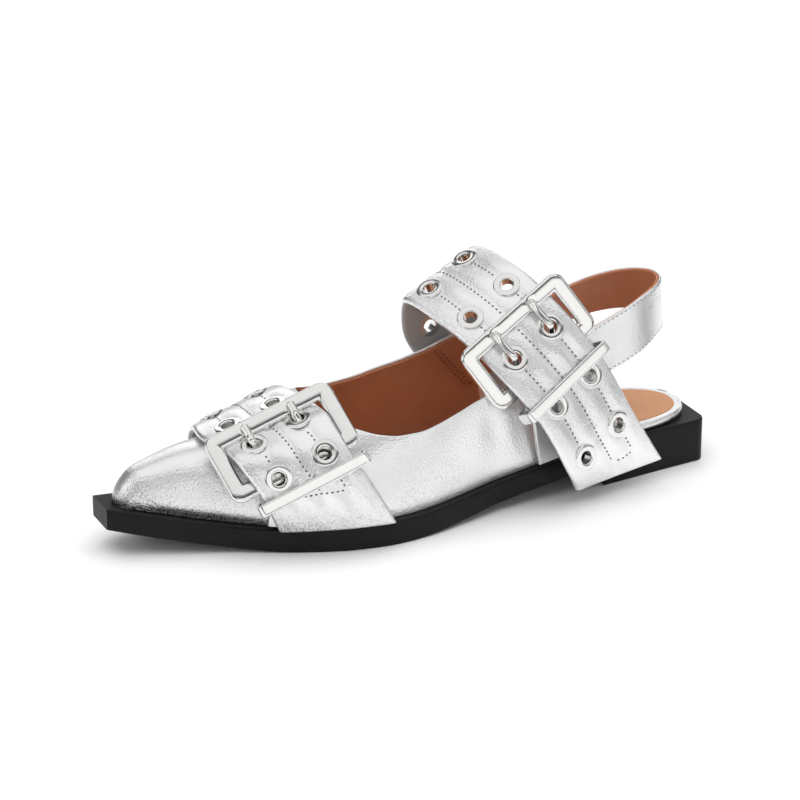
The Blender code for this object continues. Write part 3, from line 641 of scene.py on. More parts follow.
def rib_depth(x, to_edge):
    """Depth of the grooves: a clipped sine along the shoe, inside the treads and away from the edge."""
    wave = np.sin(2 * np.pi * x / RIB_PITCH)
    groove = np.clip(RIB_STEEPNESS * wave - (RIB_STEEPNESS - 1), 0.0, 1.0)
    on_tread = np.any([(x > tread.back) & (x < tread.front) for tread in TREADS], axis=0)
    return RIB_DEPTH * groove * (on_tread & (to_edge > RIB_MARGIN))


def section_rings(x, stretches):
    """Closed sections at places along the shoe, each put together from stretches of (y, z)."""
    y, z = (np.concatenate(part, axis=1) for part in zip(*stretches))
    return with_poles(np.stack([np.broadcast_to(x, y.shape), y, z], axis=-1))


def sole_rings():
    """Sections from heel to toe, each a rectangle with four round edges, ribbed underneath."""
    x = sole_stations()
    low = share_between(x, HEEL_BREAST - BREAST_SLANT, HEEL_BREAST) * sole_rise(x)
    top = sole_top(x)
    lateral = sole_side(x, "lateral")
    medial = sole_side(x, "medial")
    across = np.linspace(0.0, 1.0, SOLE_FLAT_POINTS)[None, 1:-1]
    flat = medial + SOLE_EDGE + (lateral - medial - 2 * SOLE_EDGE) * across
    under = low + rib_depth(x, np.minimum(lateral - flat, flat - medial))
    quarter = np.linspace(0.0, np.pi / 2, SOLE_EDGE_POINTS)[None, :]
    turn_out = SOLE_EDGE * (1 - np.sin(quarter))
    turn_up = SOLE_EDGE * (1 - np.cos(quarter))
    stretches = [
        (flat, under),
        (lateral - turn_out, low + turn_up),
        (lateral - turn_up, top - turn_out),
        (flat[:, ::-1], top + 0 * flat),
        (medial + turn_out, top - turn_up),
        (medial + turn_up, low + turn_out),
    ]
    return section_rings(x, stretches)


add_rings("moulded_sole", sole_rings(), rubber, ["outsole"])

# %% [markdown]
# On the sole lies a board wrapped in silver leather, whose edge shows round the heel as a rand, and on the
# board the tan sock. Both are the same shape at different insets, flat on top with a half round edge, so one
# function makes them. Neighbouring pieces stand a small gap apart, as the solids do.

# %% Insole board and sock
GAP = 0.3
INSOLE_BACK = -130.5
INSOLE_TOE = 124.5
SOCK_THICKNESS = 0.6
SOCK_INSET = 3.4
SOCK_SINK = 0.3
RAND_THICKNESS = 3.3
EDGE_SQUARENESS = 0.5
HEEL_ROUND_START = -102.0
HEEL_ROUND_POWER = 2.5
HEEL_MIDDLE = 3.0
BLUNT_END = 0.05
BoardPoints = namedtuple("BoardPoints", "heel front edge flat")
BOARD_POINTS = BoardPoints(28, 150, 9, 15)
InsetRow = namedtuple("InsetRow", "x inset")
INSOLE_INSET = [
    InsetRow(-133.0, 2.2),
    InsetRow(-75.0, 2.6),
    InsetRow(-50.0, 6.0),
    InsetRow(90.0, 6.0),
    InsetRow(124.5, 8.6),
]


def board_side(x, side, inset):
    """Half outline of the board: the sole's, moved in, with a heel end rounded as a superellipse."""
    sign = SIDE_SIGN[side]
    y = sign * curve(SOLE, side, x) - curve(INSOLE_INSET, "inset", x) - inset
    middle = sign * HEEL_MIDDLE
    into = share_between(x, HEEL_ROUND_START, INSOLE_BACK + inset)
    return sign * (middle + (y - middle) * (1 - into**HEEL_ROUND_POWER) ** (1 / HEEL_ROUND_POWER))


def board_rings(inset, low, thickness):
    """Sections of a board that follows the top of the sole, each a slot shape with half round ends."""
    count = BOARD_POINTS
    back = INSOLE_BACK + inset + BLUNT_END
    heel = back + (HEEL_ROUND_START - back) * (1 - np.cos(np.linspace(0.0, np.pi / 2, count.heel)))
    front = np.linspace(HEEL_ROUND_START, INSOLE_TOE - inset, count.front)[1:]
    x = np.concatenate([heel, front])[:, None]
    lateral = board_side(x, "lateral", inset)
    medial = board_side(x, "medial", inset)
    base = sole_top(x) + low
    edge = np.minimum(thickness / 2, (lateral - medial) / 4)
    bend = np.linspace(-np.pi / 2, np.pi / 2, count.edge)[None, :]
    across = np.linspace(0.0, 1.0, count.flat)[None, 1:-1]
    flat = medial + edge + (lateral - medial - 2 * edge) * across
    out = edge * np.cos(bend) ** EDGE_SQUARENESS
    height = thickness / 2 * (1 + np.sin(bend))
    stretches = [
        (flat, base + 0 * flat),
        (lateral - edge + out, base + height),
        (flat[:, ::-1], base + thickness + 0 * flat),
        (medial + edge - out[:, ::-1], base + height[:, ::-1]),
    ]
    return section_rings(x, stretches)


add_rings("insole_board", board_rings(0.0, GAP, RAND_THICKNESS), silver, ["insole"])
add_rings(
    "sock_leather",
    board_rings(SOCK_INSET, GAP + RAND_THICKNESS - SOCK_SINK, SOCK_THICKNESS),
    sock_leather,
    ["sock"],
)

# %% [markdown]
# The upper is pulled over a last, a wooden form of the foot, so its sections are the last's: two quarter
# superellipses that meet at the ridge of the foot. It could be sculpted, but straps and tabs lie on the same
# form later, and a formula can be asked for any point of it.

# %% The last
UPPER_TOE = 127.5
TOE_ROUND = 10.0
TIP_ROUND = 4.0
THROAT_FRONT = 44.0
LastRow = namedtuple("LastRow", "x crown ridge fullness ledge")
LAST = [
    LastRow(-100.0, 108.0, 4.0, 0.45, 3.0),
    LastRow(-60.0, 95.0, 4.0, 0.45, 3.0),
    LastRow(-20.0, 76.0, 3.5, 0.5, 3.5),
    LastRow(20.0, 60.0, 2.5, 0.75, 3.5),
    LastRow(44.0, 52.0, 1.5, 0.8, 3.5),
    LastRow(76.0, 42.8, 0.8, 0.8, 3.7),
    LastRow(86.0, 40.0, 0.6, 0.8, 3.8),
    LastRow(98.0, 38.6, 0.35, 0.8, 3.9),
    LastRow(114.0, 34.6, 0.0, 0.8, 4.0),
    LastRow(127.5, 29.6, 0.0, 0.8, 5.5),
]


def feather_height(x):
    """Height of the feather line, where the upper meets the sole."""
    return sole_top(x) + GAP


def last_point(x, around, inset=0.0):
    """A point of the upper's face, moved in by an inset.

    The angle around runs from 0 at the lateral feather line over 90 at the ridge to 180 at the medial one.
    """
    x, around = np.broadcast_arrays(np.asarray(x, float), np.radians(around))
    ledge = curve(LAST, "ledge", x)
    ridge = curve(LAST, "ridge", x)
    lateral = curve(SOLE, "lateral", x) - ledge - inset
    medial = curve(SOLE, "medial", x) + ledge + inset
    base = feather_height(x)
    into_toe = share_between(x, UPPER_TOE - TOE_ROUND, UPPER_TOE)
    height = (curve(LAST, "crown", x) - inset - base) * np.sqrt(1 - into_toe**2)
    into_tip = share_between(x, UPPER_TOE - TIP_ROUND, UPPER_TOE)
    across = np.abs(np.cos(around)) ** curve(LAST, "fullness", x) * np.sqrt(1 - into_tip**2)
    y = ridge + np.where(np.cos(around) >= 0, (lateral - ridge) * across, (medial - ridge) * across)
    pulled = x - inset * share_between(x, THROAT_FRONT, UPPER_TOE) ** 2
    return np.stack([pulled, y, base + height * np.sin(around)], axis=-1)


def last_side(x, z, side, inset):
    """Y of the upper's face at a height z, moved in by an inset."""
    base = feather_height(x)
    share = np.clip((z - base) / (curve(LAST, "crown", x) - inset - base), 0.0, 1.0)
    across = (1 - share**2) ** (curve(LAST, "fullness", x) / 2)
    ridge = curve(LAST, "ridge", x)
    foot = curve(SOLE, side, x) - SIDE_SIGN[side] * (curve(LAST, "ledge", x) + inset)
    return ridge + (foot - ridge) * across


print("ridge at the throat", last_point(THROAT_FRONT, 90.0).round(1))

# %% [markdown]
# The upper covers only a part of the last. It is a horseshoe: one parameter runs from the lateral quarter
# round the toe to the medial quarter, the other rises from the feather line to the topline. Both quarters
# and the toe are then one even grid, without a seam.

# %% The upper's face
QUARTER_BACK = -52.0
QUARTER_TOP_BACK = -42.0
TOE_SHARE = 0.14
FEATHER_SPACING = 0.9
TOPLINE_SPACING = 1.8
RISE_SPACING = 1.6
ToplineRow = namedtuple("ToplineRow", "x lateral medial")
TOPLINE = [
    ToplineRow(-42.0, 53.0, 62.5),
    ToplineRow(-30.0, 51.8, 59.0),
    ToplineRow(-20.0, 49.8, 54.8),
    ToplineRow(-10.0, 47.0, 51.5),
    ToplineRow(0.0, 44.4, 49.2),
    ToplineRow(8.0, 43.0, 47.0),
    ToplineRow(16.0, 42.8, 45.6),
    ToplineRow(24.0, 43.8, 45.0),
    ToplineRow(32.0, 46.0, 46.0),
    ToplineRow(38.0, 48.3, 48.0),
    ToplineRow(44.0, 52.0, 52.0),
]


def topline_angle(x, side):
    """Angle around the section at which the wall reaches its topline: the arc sine of its share of height."""
    base = feather_height(x)
    share = (curve(TOPLINE, side, x) - base) / (curve(LAST, "crown", x) - base)
    angle = np.degrees(np.arcsin(np.clip(share, 0.0, 1.0)))
    return angle if side == "lateral" else 180.0 - angle


def upper_grid(inset, turn, rise):
    """Points of the upper: turn runs round the toe from -1 to 1, rise from feather line to topline."""
    side = np.abs(turn)
    along = share_between(side, TOE_SHARE, 1.0)
    feather_x = UPPER_TOE + (QUARTER_BACK - UPPER_TOE) * along**FEATHER_SPACING
    round_toe = 90.0 + 90.0 * turn / TOE_SHARE
    feather_angle = np.where(side < TOE_SHARE, round_toe, np.where(turn < 0, 0.0, 180.0))
    top_x = THROAT_FRONT + (QUARTER_TOP_BACK - THROAT_FRONT) * side**TOPLINE_SPACING
    top_angle = np.where(turn < 0, topline_angle(top_x, "lateral"), topline_angle(top_x, "medial"))
    share = rise**RISE_SPACING
    x = feather_x[:, None] + (top_x - feather_x)[:, None] * share
    angle = feather_angle[:, None] + (top_angle - feather_angle)[:, None] * share
    return last_point(x, angle, inset)


print("topline angle at the lateral quarter", round(float(topline_angle(QUARTER_TOP_BACK, "lateral")), 1))

# %% [markdown]
# Real leather gives. It is tucked in just above the sole, most at the toe, and a few soft creases lie where
# the foot bends it. Cloth simulation would crease it at random, so each crease is listed one by one.

# %% Creases and the tuck above the sole
TUCK_DEPTH = 1.3
TUCK_RISE = 3.4
TUCK_START = 40.0
TUCK_FULL = 90.0
TUCK_LEAST = 0.3
TUCK_TIP = 16.0
CREASE_FADE = 0.1
Crease = namedtuple("Crease", "start_x start_y start_z end_x end_y end_z depth width")
CREASES = [
    Crease(-24.0, 31.0, 46.0, -31.0, 34.0, 25.0, 0.32, 5.0),
    Crease(-37.0, 28.0, 46.0, -42.0, 30.0, 28.0, 0.3, 3.6),
    Crease(26.0, 36.0, 40.0, 20.0, 42.0, 24.0, 0.2, 4.5),
    Crease(14.0, -28.0, 42.0, 2.0, -31.0, 22.0, 0.22, 4.5),
    Crease(-14.0, -25.0, 46.0, -24.0, -24.0, 24.0, 0.3, 5.0),
]


def crease_depth(points):
    """How far the leather sinks: each crease is a trough with a bell section, fading at its two ends."""
    depth = np.zeros(points.shape[:-1])
    for crease in CREASES:
        start = np.array(crease[0:3])
        run = np.array(crease[3:6]) - start
        share = np.clip((points - start) @ run / (run @ run), 0.0, 1.0)
        away = np.linalg.norm(points - start - share[..., None] * run, axis=-1)
        fade = np.sin(np.pi * (CREASE_FADE + (1 - 2 * CREASE_FADE) * share))
        depth += crease.depth * np.exp(-((away / crease.width) ** 2)) * fade
    return depth


def tuck_depth(points):
    """How far the leather is pulled in above the sole: a bell over its height, fading at the very tip."""
    x = points[..., 0]
    above = points[..., 2] - feather_height(x)
    towards_toe = np.maximum(share_between(x, TUCK_START, TUCK_FULL), TUCK_LEAST)
    from_tip = share_between(x, UPPER_TOE, UPPER_TOE - TUCK_TIP)
    return TUCK_DEPTH * towards_toe * from_tip * np.exp(-((above / TUCK_RISE) ** 2))


print("creases", len(CREASES))

# %% [markdown]
# The upper has two layers: the silver shell, which is folded over at the topline, and the brown lining, which
# stops just below the fold. The shell's points store how near they are to the sole, and the silver finish
# reads that mark to paint shade there, standing for the dark sole that the foil mirrors.

# %% Upper
UPPER_WALL = 1.6
SHELL_WALL = 0.9
LINING_SHARE = 0.985
UPPER_COLUMNS = 301
UPPER_ROWS = 46
END_CROWD = 0.003
END_ROUND = 0.006
TOPLINE_ROUND = 0.012
SoleMark = namedtuple("SoleMark", "rise start full")
UPPER_MARK = SoleMark(4.6, TUCK_START, TUCK_FULL)


def upper_layer(outer, inner, top, reach):
    """One layer of the upper between two insets, closed and rounded at the topline and the quarters' ends."""
    turn = reach * (2 * round_ends(END_CROWD, UPPER_COLUMNS) - 1)
    rise = top * round_ends(TOPLINE_ROUND, UPPER_ROWS)
    face = upper_grid(outer, turn, rise)
    back = upper_grid(inner, turn, rise)
    middle = (face + back) / 2
    ends = rounding(reach - np.abs(turn), END_ROUND)[:, None, None]
    edges = rounding(np.minimum(rise, top - rise), TOPLINE_ROUND * top)[None, :, None]
    half = (face - back) / 2 * ends * edges
    sink = surface_normals(face)
    sink *= np.sign((sink * (face - back)).sum(axis=-1, keepdims=True))
    sink *= (crease_depth(face) + tuck_depth(face))[..., None]
    return sheet_rings(middle + half - sink, middle - half - sink)


def mark_near_sole(piece, mark):
    """Stores how near each point is to the sole, a mask for painted shade: a bell over the height, strongest
    at the toe.
    """
    mesh = piece.data
    flat = np.empty(3 * len(mesh.vertices))
    mesh.vertices.foreach_get("co", flat)
    points = flat.reshape(-1, 3) / MM - SHOE_SHIFT
    above = points[:, 2] - feather_height(points[:, 0])
    near = share_between(points[:, 0], mark.start, mark.full) * np.exp(-((above / mark.rise) ** 2))
    mesh.attributes.new(SOLE_MARK, "FLOAT", "POINT").data.foreach_set("value", near)


shell = add_rings("upper_shell", upper_layer(0.0, SHELL_WALL, 1.0, 1.0), silver, ["upper"])
# The mark makes the silver finish paint shade low on the shell, for the dark sole mirrored there.
mark_near_sole(shell, UPPER_MARK)
lining_rings = upper_layer(SHELL_WALL, UPPER_WALL, LINING_SHARE, LINING_SHARE)
add_rings("upper_lining", lining_rings, lining)

# %% [markdown]
# The sling is a band round the heel. It follows the heel as half an ellipse, leans in a little, and then
# eases into the quarters, where its ends are lapped inside. A curve with a flat bevel could carry it, but
# its ends have to lie against the last, whose formula is at hand.

# %% Where the sling runs
SLING_WIDTH = 19.0
SLING_LEAN = 0.36
SLING_THICKNESS = 2.4
SLING_BACK = -118.0
SLING_CENTRE = -90.0
SLING_HALF_WIDTH = 21.6
SLING_FRONT = -36.0
SLING_LAP = -55.0
SLING_HEEL_STATIONS = 91
SLING_SIDE_STATIONS = 46
SlingRow = namedtuple("SlingRow", "x lateral medial")
SLING = [
    SlingRow(-118.0, 72.3, 72.3),
    SlingRow(-108.0, 70.3, 70.0),
    SlingRow(-94.0, 65.0, 66.5),
    SlingRow(-84.0, 61.0, 63.5),
    SlingRow(-60.0, 52.0, 53.5),
    SlingRow(-36.0, 44.0, 44.5),
]


def sling_grid(share):
    """Middle face of the sling; share runs across it from the lower to the upper edge."""
    turn = np.linspace(-np.pi / 2, np.pi / 2, SLING_HEEL_STATIONS)
    heel_x = SLING_CENTRE - (SLING_CENTRE - SLING_BACK) * np.cos(turn)
    side_x = np.linspace(SLING_CENTRE, SLING_FRONT, SLING_SIDE_STATIONS)[1:]
    x = np.concatenate([side_x[::-1], heel_x, side_x])
    straight = np.ones(len(side_x))
    round_y = SLING_HALF_WIDTH * np.concatenate([straight, -np.sin(turn), -straight])
    lateral = round_y > 0
    middle = np.where(lateral, curve(SLING, "lateral", x), curve(SLING, "medial", x))
    slope = np.gradient(middle) / np.hypot(np.gradient(x), np.gradient(round_y))
    across = (share - 0.5) * SLING_WIDTH
    z = middle[:, None] + across * np.sqrt(1 + slope**2)[:, None]
    lap = UPPER_WALL + GAP + SLING_THICKNESS / 2
    wide_x = np.broadcast_to(x[:, None], z.shape)
    outer_side = last_side(wide_x, z, "lateral", lap)
    inner_side = last_side(wide_x, z, "medial", lap)
    lapped = np.where(lateral[:, None], outer_side, inner_side)
    forward = share_between(wide_x, SLING_CENTRE, SLING_LAP)
    ease = forward**2 * (3 - 2 * forward)
    leaning = round_y[:, None] * (1 - SLING_LEAN * across / SLING_HALF_WIDTH)
    y = (HEEL_MIDDLE + leaning) * (1 - ease) + lapped * ease
    return np.stack([wide_x, y, z], axis=-1)


print("sling stations", len(sling_grid(np.array([0.5]))))

# %% [markdown]
# The band is two strips of leather glued back to back, silver outside and brown inside. Towards its ends it
# is pared thin, as a shoemaker skives leather before a lap, so that the quarter lies flat over it.

# %% Sling
SLING_COLUMNS = 21
SLING_EDGE_CROWD = 1.1
SLING_EDGE_ROUND = 1.0
SLING_END_ROWS = 2.0
GLUE_LINE = 0.02
PARE_START = -56.0
PARED_SHARE = 0.12
SLING_DIVE = 0.85


def sling_outwards(middle):
    """Normals of the sling's middle face, turned away from the middle of the heel."""
    normal = surface_normals(middle)
    away = middle - np.array([SLING_CENTRE, HEEL_MIDDLE, 0.0])
    return normal * np.sign((normal * away)[..., :2].sum(axis=-1).mean())


sling_share = round_ends(SLING_EDGE_CROWD / SLING_WIDTH, SLING_COLUMNS)
sling_middle = sling_grid(sling_share)
sling_out = sling_outwards(sling_middle)


def sling_offset(distance):
    """A distance from the middle face, pared towards the outer face where the sling is lapped."""
    pared = share_between(sling_middle[..., :1], PARE_START, SLING_FRONT)
    left = 1 - (1 - PARED_SHARE) * pared
    return SLING_THICKNESS / 2 - (SLING_THICKNESS / 2 - distance) * left + SLING_DIVE * pared**2


def sling_layer(low, high):
    """A strip between two distances from the middle face, thinned to nothing at its edges and ends."""
    edge = rounding(np.minimum(sling_share, 1 - sling_share) * SLING_WIDTH, SLING_EDGE_ROUND)[None, :]
    row = np.arange(len(sling_middle))
    end = rounding(np.minimum(row, row[::-1]), SLING_END_ROWS)[:, None]
    low = sling_offset(low)
    high = sling_offset(high)
    half = (high - low) / 2 * (edge * end)[..., None]
    middle = sling_middle + sling_out * (high + low) / 2
    return sheet_rings(middle + sling_out * half, middle - sling_out * half)


outside_rings = sling_layer(GLUE_LINE, SLING_THICKNESS / 2)
inside_rings = sling_layer(-SLING_THICKNESS / 2, -GLUE_LINE)
add_rings("sling_outside", outside_rings, silver, ["slingback"])
add_rings("sling_lining", inside_rings, lining)

# %% [markdown]
# Each strap is a padded band, and its middle face is given by a table. The vamp strap lies on the foot, so
# its rows are bands of the last, lifted off it. The instep strap stands free, so its rows are pairs of
# points at its two edges.

# %% Where the straps run
VampRow = namedtuple("VampRow", "x front back front_lift back_lift")
VAMP_STRAP = [
    VampRow(0.0, 69.5, 24.0, 5.2, 5.2),
    VampRow(25.0, 76.5, 35.5, 9.3, 7.0),
    VampRow(40.0, 81.0, 40.5, 10.0, 6.6),
    VampRow(61.0, 84.8, 43.5, 4.4, 6.0),
    VampRow(71.0, 87.0, 44.5, 2.3, 4.0),
    VampRow(88.0, 89.5, 46.5, 2.1, 2.1),
    VampRow(110.0, 88.0, 48.5, 3.0, 3.0),
    VampRow(140.0, 86.0, 47.0, 3.8, 3.8),
    VampRow(180.0, 80.0, 37.0, 2.2, 2.2),
]
InstepRow = namedtuple("InstepRow", "front_x front_y front_z back_x back_y back_z")
INSTEP_STRAP = [
    InstepRow(-61.0, 42.0, 6.6, -105.0, 36.5, 10.5),
    InstepRow(-53.7, 47.8, 18.7, -89.3, 37.2, 36.2),
    InstepRow(-41.6, 43.1, 42.6, -78.1, 32.9, 58.2),
    InstepRow(-28.7, 29.8, 60.0, -64.3, 23.8, 79.0),
    InstepRow(-19.1, 10.2, 71.7, -53.9, 4.8, 92.5),
    InstepRow(-11.2, -12.9, 78.2, -47.6, -19.1, 95.8),
    InstepRow(-10.5, -20.5, 74.0, -47.0, -25.5, 90.0),
    InstepRow(-14.5, -24.5, 57.0, -57.0, -27.0, 72.0),
    InstepRow(-30.0, -24.8, 36.0, -75.0, -26.0, 48.0),
    InstepRow(-52.0, -23.4, 16.8, -95.0, -22.2, 20.8),
]


def vamp_grid(rows, share):
    """Bands of the last at even angles, lifted off it, then spaced evenly along the strap."""
    around = np.linspace(VAMP_STRAP[0].x, VAMP_STRAP[-1].x, rows)
    front, back, front_lift, back_lift = (
        curve(VAMP_STRAP, column, around)[:, None] for column in VampRow._fields[1:]
    )
    x = front + (back - front) * share
    grid = last_point(x, around[:, None], -(front_lift + (back_lift - front_lift) * share))
    return smooth_path(grid.reshape(rows, -1), rows).reshape(rows, len(share), 3)


def instep_grid(rows, share):
    """Straight lines between two smooth edges."""
    edges = smooth_path(INSTEP_STRAP, rows)
    return edges[:, None, :3] * (1 - share[:, None]) + edges[:, None, 3:] * share[:, None]


print("strap tables", len(VAMP_STRAP), "and", len(INSTEP_STRAP), "rows")

# %% [markdown]
# Buckles, keepers and eyelets are set on a strap by lengths along it, measured from the end of its tail, as
# a maker marks them with a rule. So a strap is an object that can be asked for the point and the directions
# at such a length.

# %% A strap and its fittings
STRAP_THICKNESS = 3.2
STRAP_COLUMNS = 33
EYELET_SPREAD = 21.0
PAIR_SIDES = (0.5, -0.5)
Fittings = namedtuple(
    "Fittings", "keeper keeper_slack front_bar heel_slack first_eyelet eyelet_pitch eyelet_pairs prong_pair"
)
VAMP_FITTINGS = Fittings(23.0, 2.1, 57.5, 2.0, 31.5, 18.2, 5, 1)
INSTEP_FITTINGS = Fittings(52.5, 0.7, 87.0, 0.9, 22.5, 25.5, 8, 2)


class Strap:
    """A strap's middle face: rows run from the tail's end, columns from the front to the back edge.

    Its hardware lies between the direction of the rows, at a squareness of 0, and the direction square to
    the strap's run, at 1.
    """

    def __init__(self, name, make_grid, rows, squareness, fittings):
        self.name = name
        self.make_grid = make_grid
        self.fittings = fittings
        self.squareness = squareness
        self.grid = make_grid(rows, np.linspace(0.0, 1.0, STRAP_COLUMNS))
        self.normal = -surface_normals(self.grid)
        self.length = run_length(self.grid[:, STRAP_COLUMNS // 2])
        self.width = np.linalg.norm(self.grid[:, 0] - self.grid[:, -1], axis=1)

    def frame(self, along, across=0.0, lift=0.0):
        """Axes and origin at a point of the strap: along it, to its front edge, outwards, and the point."""
        row = np.interp(along, self.length, np.arange(len(self.length)))
        low = int(min(max(row, 1), len(self.length) - 3))
        part = row - low
        lines = self.grid[:, [0, STRAP_COLUMNS // 2, -1]]
        front, centre, back = lines[low] * (1 - part) + lines[low + 1] * part
        forward = unit(lines[low + 2, 1] - lines[low - 1, 1])
        side = front - back
        side = unit(side - self.squareness * forward * (side @ forward))
        origin = centre + side * across
        distance = np.linalg.norm(self.grid - origin, axis=-1)
        nearest = np.unravel_index(np.argmin(distance), distance.shape)
        out = self.normal[nearest]
        origin = origin + out * (lift - out @ (origin - self.grid[nearest]))
        side = unit(side - out * (side @ out))
        return np.stack([np.cross(side, out), side, out, origin])

    def point(self, along, across=0.0, lift=0.0):
        """The point alone, at a length along the strap, a distance from its middle and a height."""
        return self.frame(along, across, lift)[3]

    def eyelets(self):
        """Axes and origins of all eyelets, pair by pair from the tail."""
        fit = self.fittings
        pairs = fit.first_eyelet + fit.eyelet_pitch * np.arange(fit.eyelet_pairs)
        return np.array([self.frame(along, side * EYELET_SPREAD) for along in pairs for side in PAIR_SIDES])


vamp = Strap("vamp_strap", vamp_grid, rows=120, squareness=0.75, fittings=VAMP_FITTINGS)
instep = Strap("instep_strap", instep_grid, rows=180, squareness=1.0, fittings=INSTEP_FITTINGS)
print("strap lengths", round(vamp.length[-1], 1), round(instep.length[-1], 1))

# %% [markdown]
# The padding is what makes a strap look soft. It swells between the seams, dips along them, lies flat under
# each eyelet's rim, and thins out at the edges. Small puckers run across every seam because the thread pulls,
# and longer wrinkles lie between them. All of it is one height above the middle face, a sum of smooth bells
# and waves, which stays clean round the eyelet holes where a simulated cushion would not.

# %% Padding of a strap
PUFF = 1.0
BACK_PUFF = 0.05
FLAT_HALF = 1.5
SEAM_DIP = 3.0
EYELET_SEAT = 7.0
EDGE_ROUND = 1.7
BORDER_FADE = 6.0
PADDED_COLUMNS = 60
SEAMS = (-EYELET_SPREAD / 2, 0.0, EYELET_SPREAD / 2)
NOISE_WAVES = 7
WAVE_STRETCH = (0.6, 1.6)
Wrinkles = namedtuple("Wrinkles", "height length run seed")
PUCKERS = Wrinkles(0.05, 9.0, 0.35, 3)
LONG_WRINKLES = Wrinkles(0.07, 26.0, 1.0, 5)
Padding = namedtuple("Padding", "grid out high low along across")


def soft_noise(u, v, wavelength, seed):
    """Smooth unevenness about zero: a sum of a few waves of random direction, length and phase."""
    random = np.random.default_rng(seed)
    total = np.zeros(np.broadcast(u, v).shape)
    for _ in range(NOISE_WAVES):
        turn = random.uniform(0.0, 2 * np.pi)
        length = wavelength * random.uniform(*WAVE_STRETCH)
        phase = random.uniform(0.0, 2 * np.pi)
        total = total + np.sin(2 * np.pi * (u * np.cos(turn) + v * np.sin(turn)) / length + phase)
    return total / NOISE_WAVES


def resampled(grid, share):
    """Rows of a grid at shares of its length, straight between neighbouring rows."""
    row = share * (len(grid) - 1)
    low = np.clip(row.astype(int), 0, len(grid) - 2)
    part = (row - low)[:, None, None]
    return grid[low] * (1 - part) + grid[low + 1] * part


def to_eyelets(strap, points):
    """Distance of each point from the middle of the nearest eyelet."""
    centres = strap.eyelets()[:, 3]
    return np.min(np.linalg.norm(points[..., None, :] - centres, axis=-1), axis=-1)


def strap_padding(strap, rows):
    """Middle face of a strap, its normals, and the heights of its outer and inner face.

    A bell takes the swelling away at each seam and eyelet, and a quarter circle rounds the border.
    """
    length = strap.length[-1]
    share = round_ends(EDGE_ROUND / strap.width.mean(), PADDED_COLUMNS)
    along_share = round_ends(EDGE_ROUND / length, rows)
    grid = resampled(strap.make_grid(len(strap.grid), share), along_share)
    along = along_share[:, None] * length
    width = np.linalg.norm(grid[:, 0] - grid[:, -1], axis=1)[:, None]
    across = (0.5 - share[None, :]) * width
    to_seam = np.min([np.abs(across - seam) for seam in SEAMS], axis=0)
    to_side = width / 2 - np.abs(across)
    to_end = np.minimum(along, length - along)
    seat = 1 - np.exp(-((to_eyelets(strap, grid) / EYELET_SEAT) ** 2))
    swell = 1 - np.exp(-((to_seam / SEAM_DIP) ** 2))
    uneven = sum(
        wrinkles.height * soft_noise(along, wrinkles.run * across, wrinkles.length, wrinkles.seed)
        for wrinkles in (PUCKERS, LONG_WRINKLES)
    )
    fade = share_between(np.minimum(to_side, to_end), 0.0, BORDER_FADE)
    border = rounding(to_side, EDGE_ROUND) * rounding(to_end, EDGE_ROUND)
    high = (FLAT_HALF + seat * fade * (PUFF * swell + uneven)) * border
    low = -(FLAT_HALF + BACK_PUFF * seat * swell) * border
    return Padding(grid, -surface_normals(grid), high, low, along, across)


print("seams at", SEAMS, "mm from the middle")

# %% [markdown]
# A padded strap is a silver band whose faces are left out where the eyelets sit, with a thin grey sheet over
# its back. The sheet is a piece of its own, a tenth of a millimetre proud, so that each piece keeps one
# finish. The straps carry the mark near the sole too, which paints shade on their low parts.

# %% Padded straps
HOLE_CUT = 4.55
LINING_SINK = 0.1
LINING_SHEET = 0.1
STRAP_MARK = SoleMark(9.0, 15.0, 75.0)


def add_padded_strap(strap, rows):
    """The padded band and the sheet that lines it: heights along the normals, with holes for the eyelets."""
    pad = strap_padding(strap, rows)

    def off_holes(middles):
        return to_eyelets(strap, middles) > HOLE_CUT

    def face(height):
        return pad.grid + pad.out * height[..., None]

    band = sheet_rings(face(pad.high), face(pad.low))
    padded = add_rings(strap.name + "_padded", band, silver, [strap.name], keep=off_holes)
    # The mark makes the silver finish paint shade on the strap's low parts.
    mark_near_sole(padded, STRAP_MARK)
    behind = face(pad.low * (1 - LINING_SINK))
    proud = face(pad.low - LINING_SHEET * (pad.low < -FLAT_HALF / 2))
    sheet = sheet_rings(behind, proud)
    add_rings(strap.name + "_lining", sheet, pale_lining, keep=off_holes)
    return pad


vamp_padding = add_padded_strap(vamp, rows=170)
instep_padding = add_padded_strap(instep, rows=280)

# %% [markdown]
# A stitch is a short bead of thread. Hundreds of objects would be slow, so one bead of a few faces is worked
# out once and copied to every place along a seam by array arithmetic, all beads of a piece in one mesh.

# %% Beads of thread
STITCH_PITCH = 2.2
STITCH_LENGTH = 1.35
STITCH_WIDTH = 0.45
BEAD_STEPS = 5
BEAD_SIDES = 6


def seam_places(points, out):
    """Evenly pitched places along a line of points, with the seam's direction and the normal there."""
    length = run_length(points)
    places = np.arange(STITCH_PITCH, length[-1] - STITCH_PITCH / 2, STITCH_PITCH)
    centres = read_along(places, length, points)
    return centres, np.gradient(centres, axis=0), read_along(places, length, out)


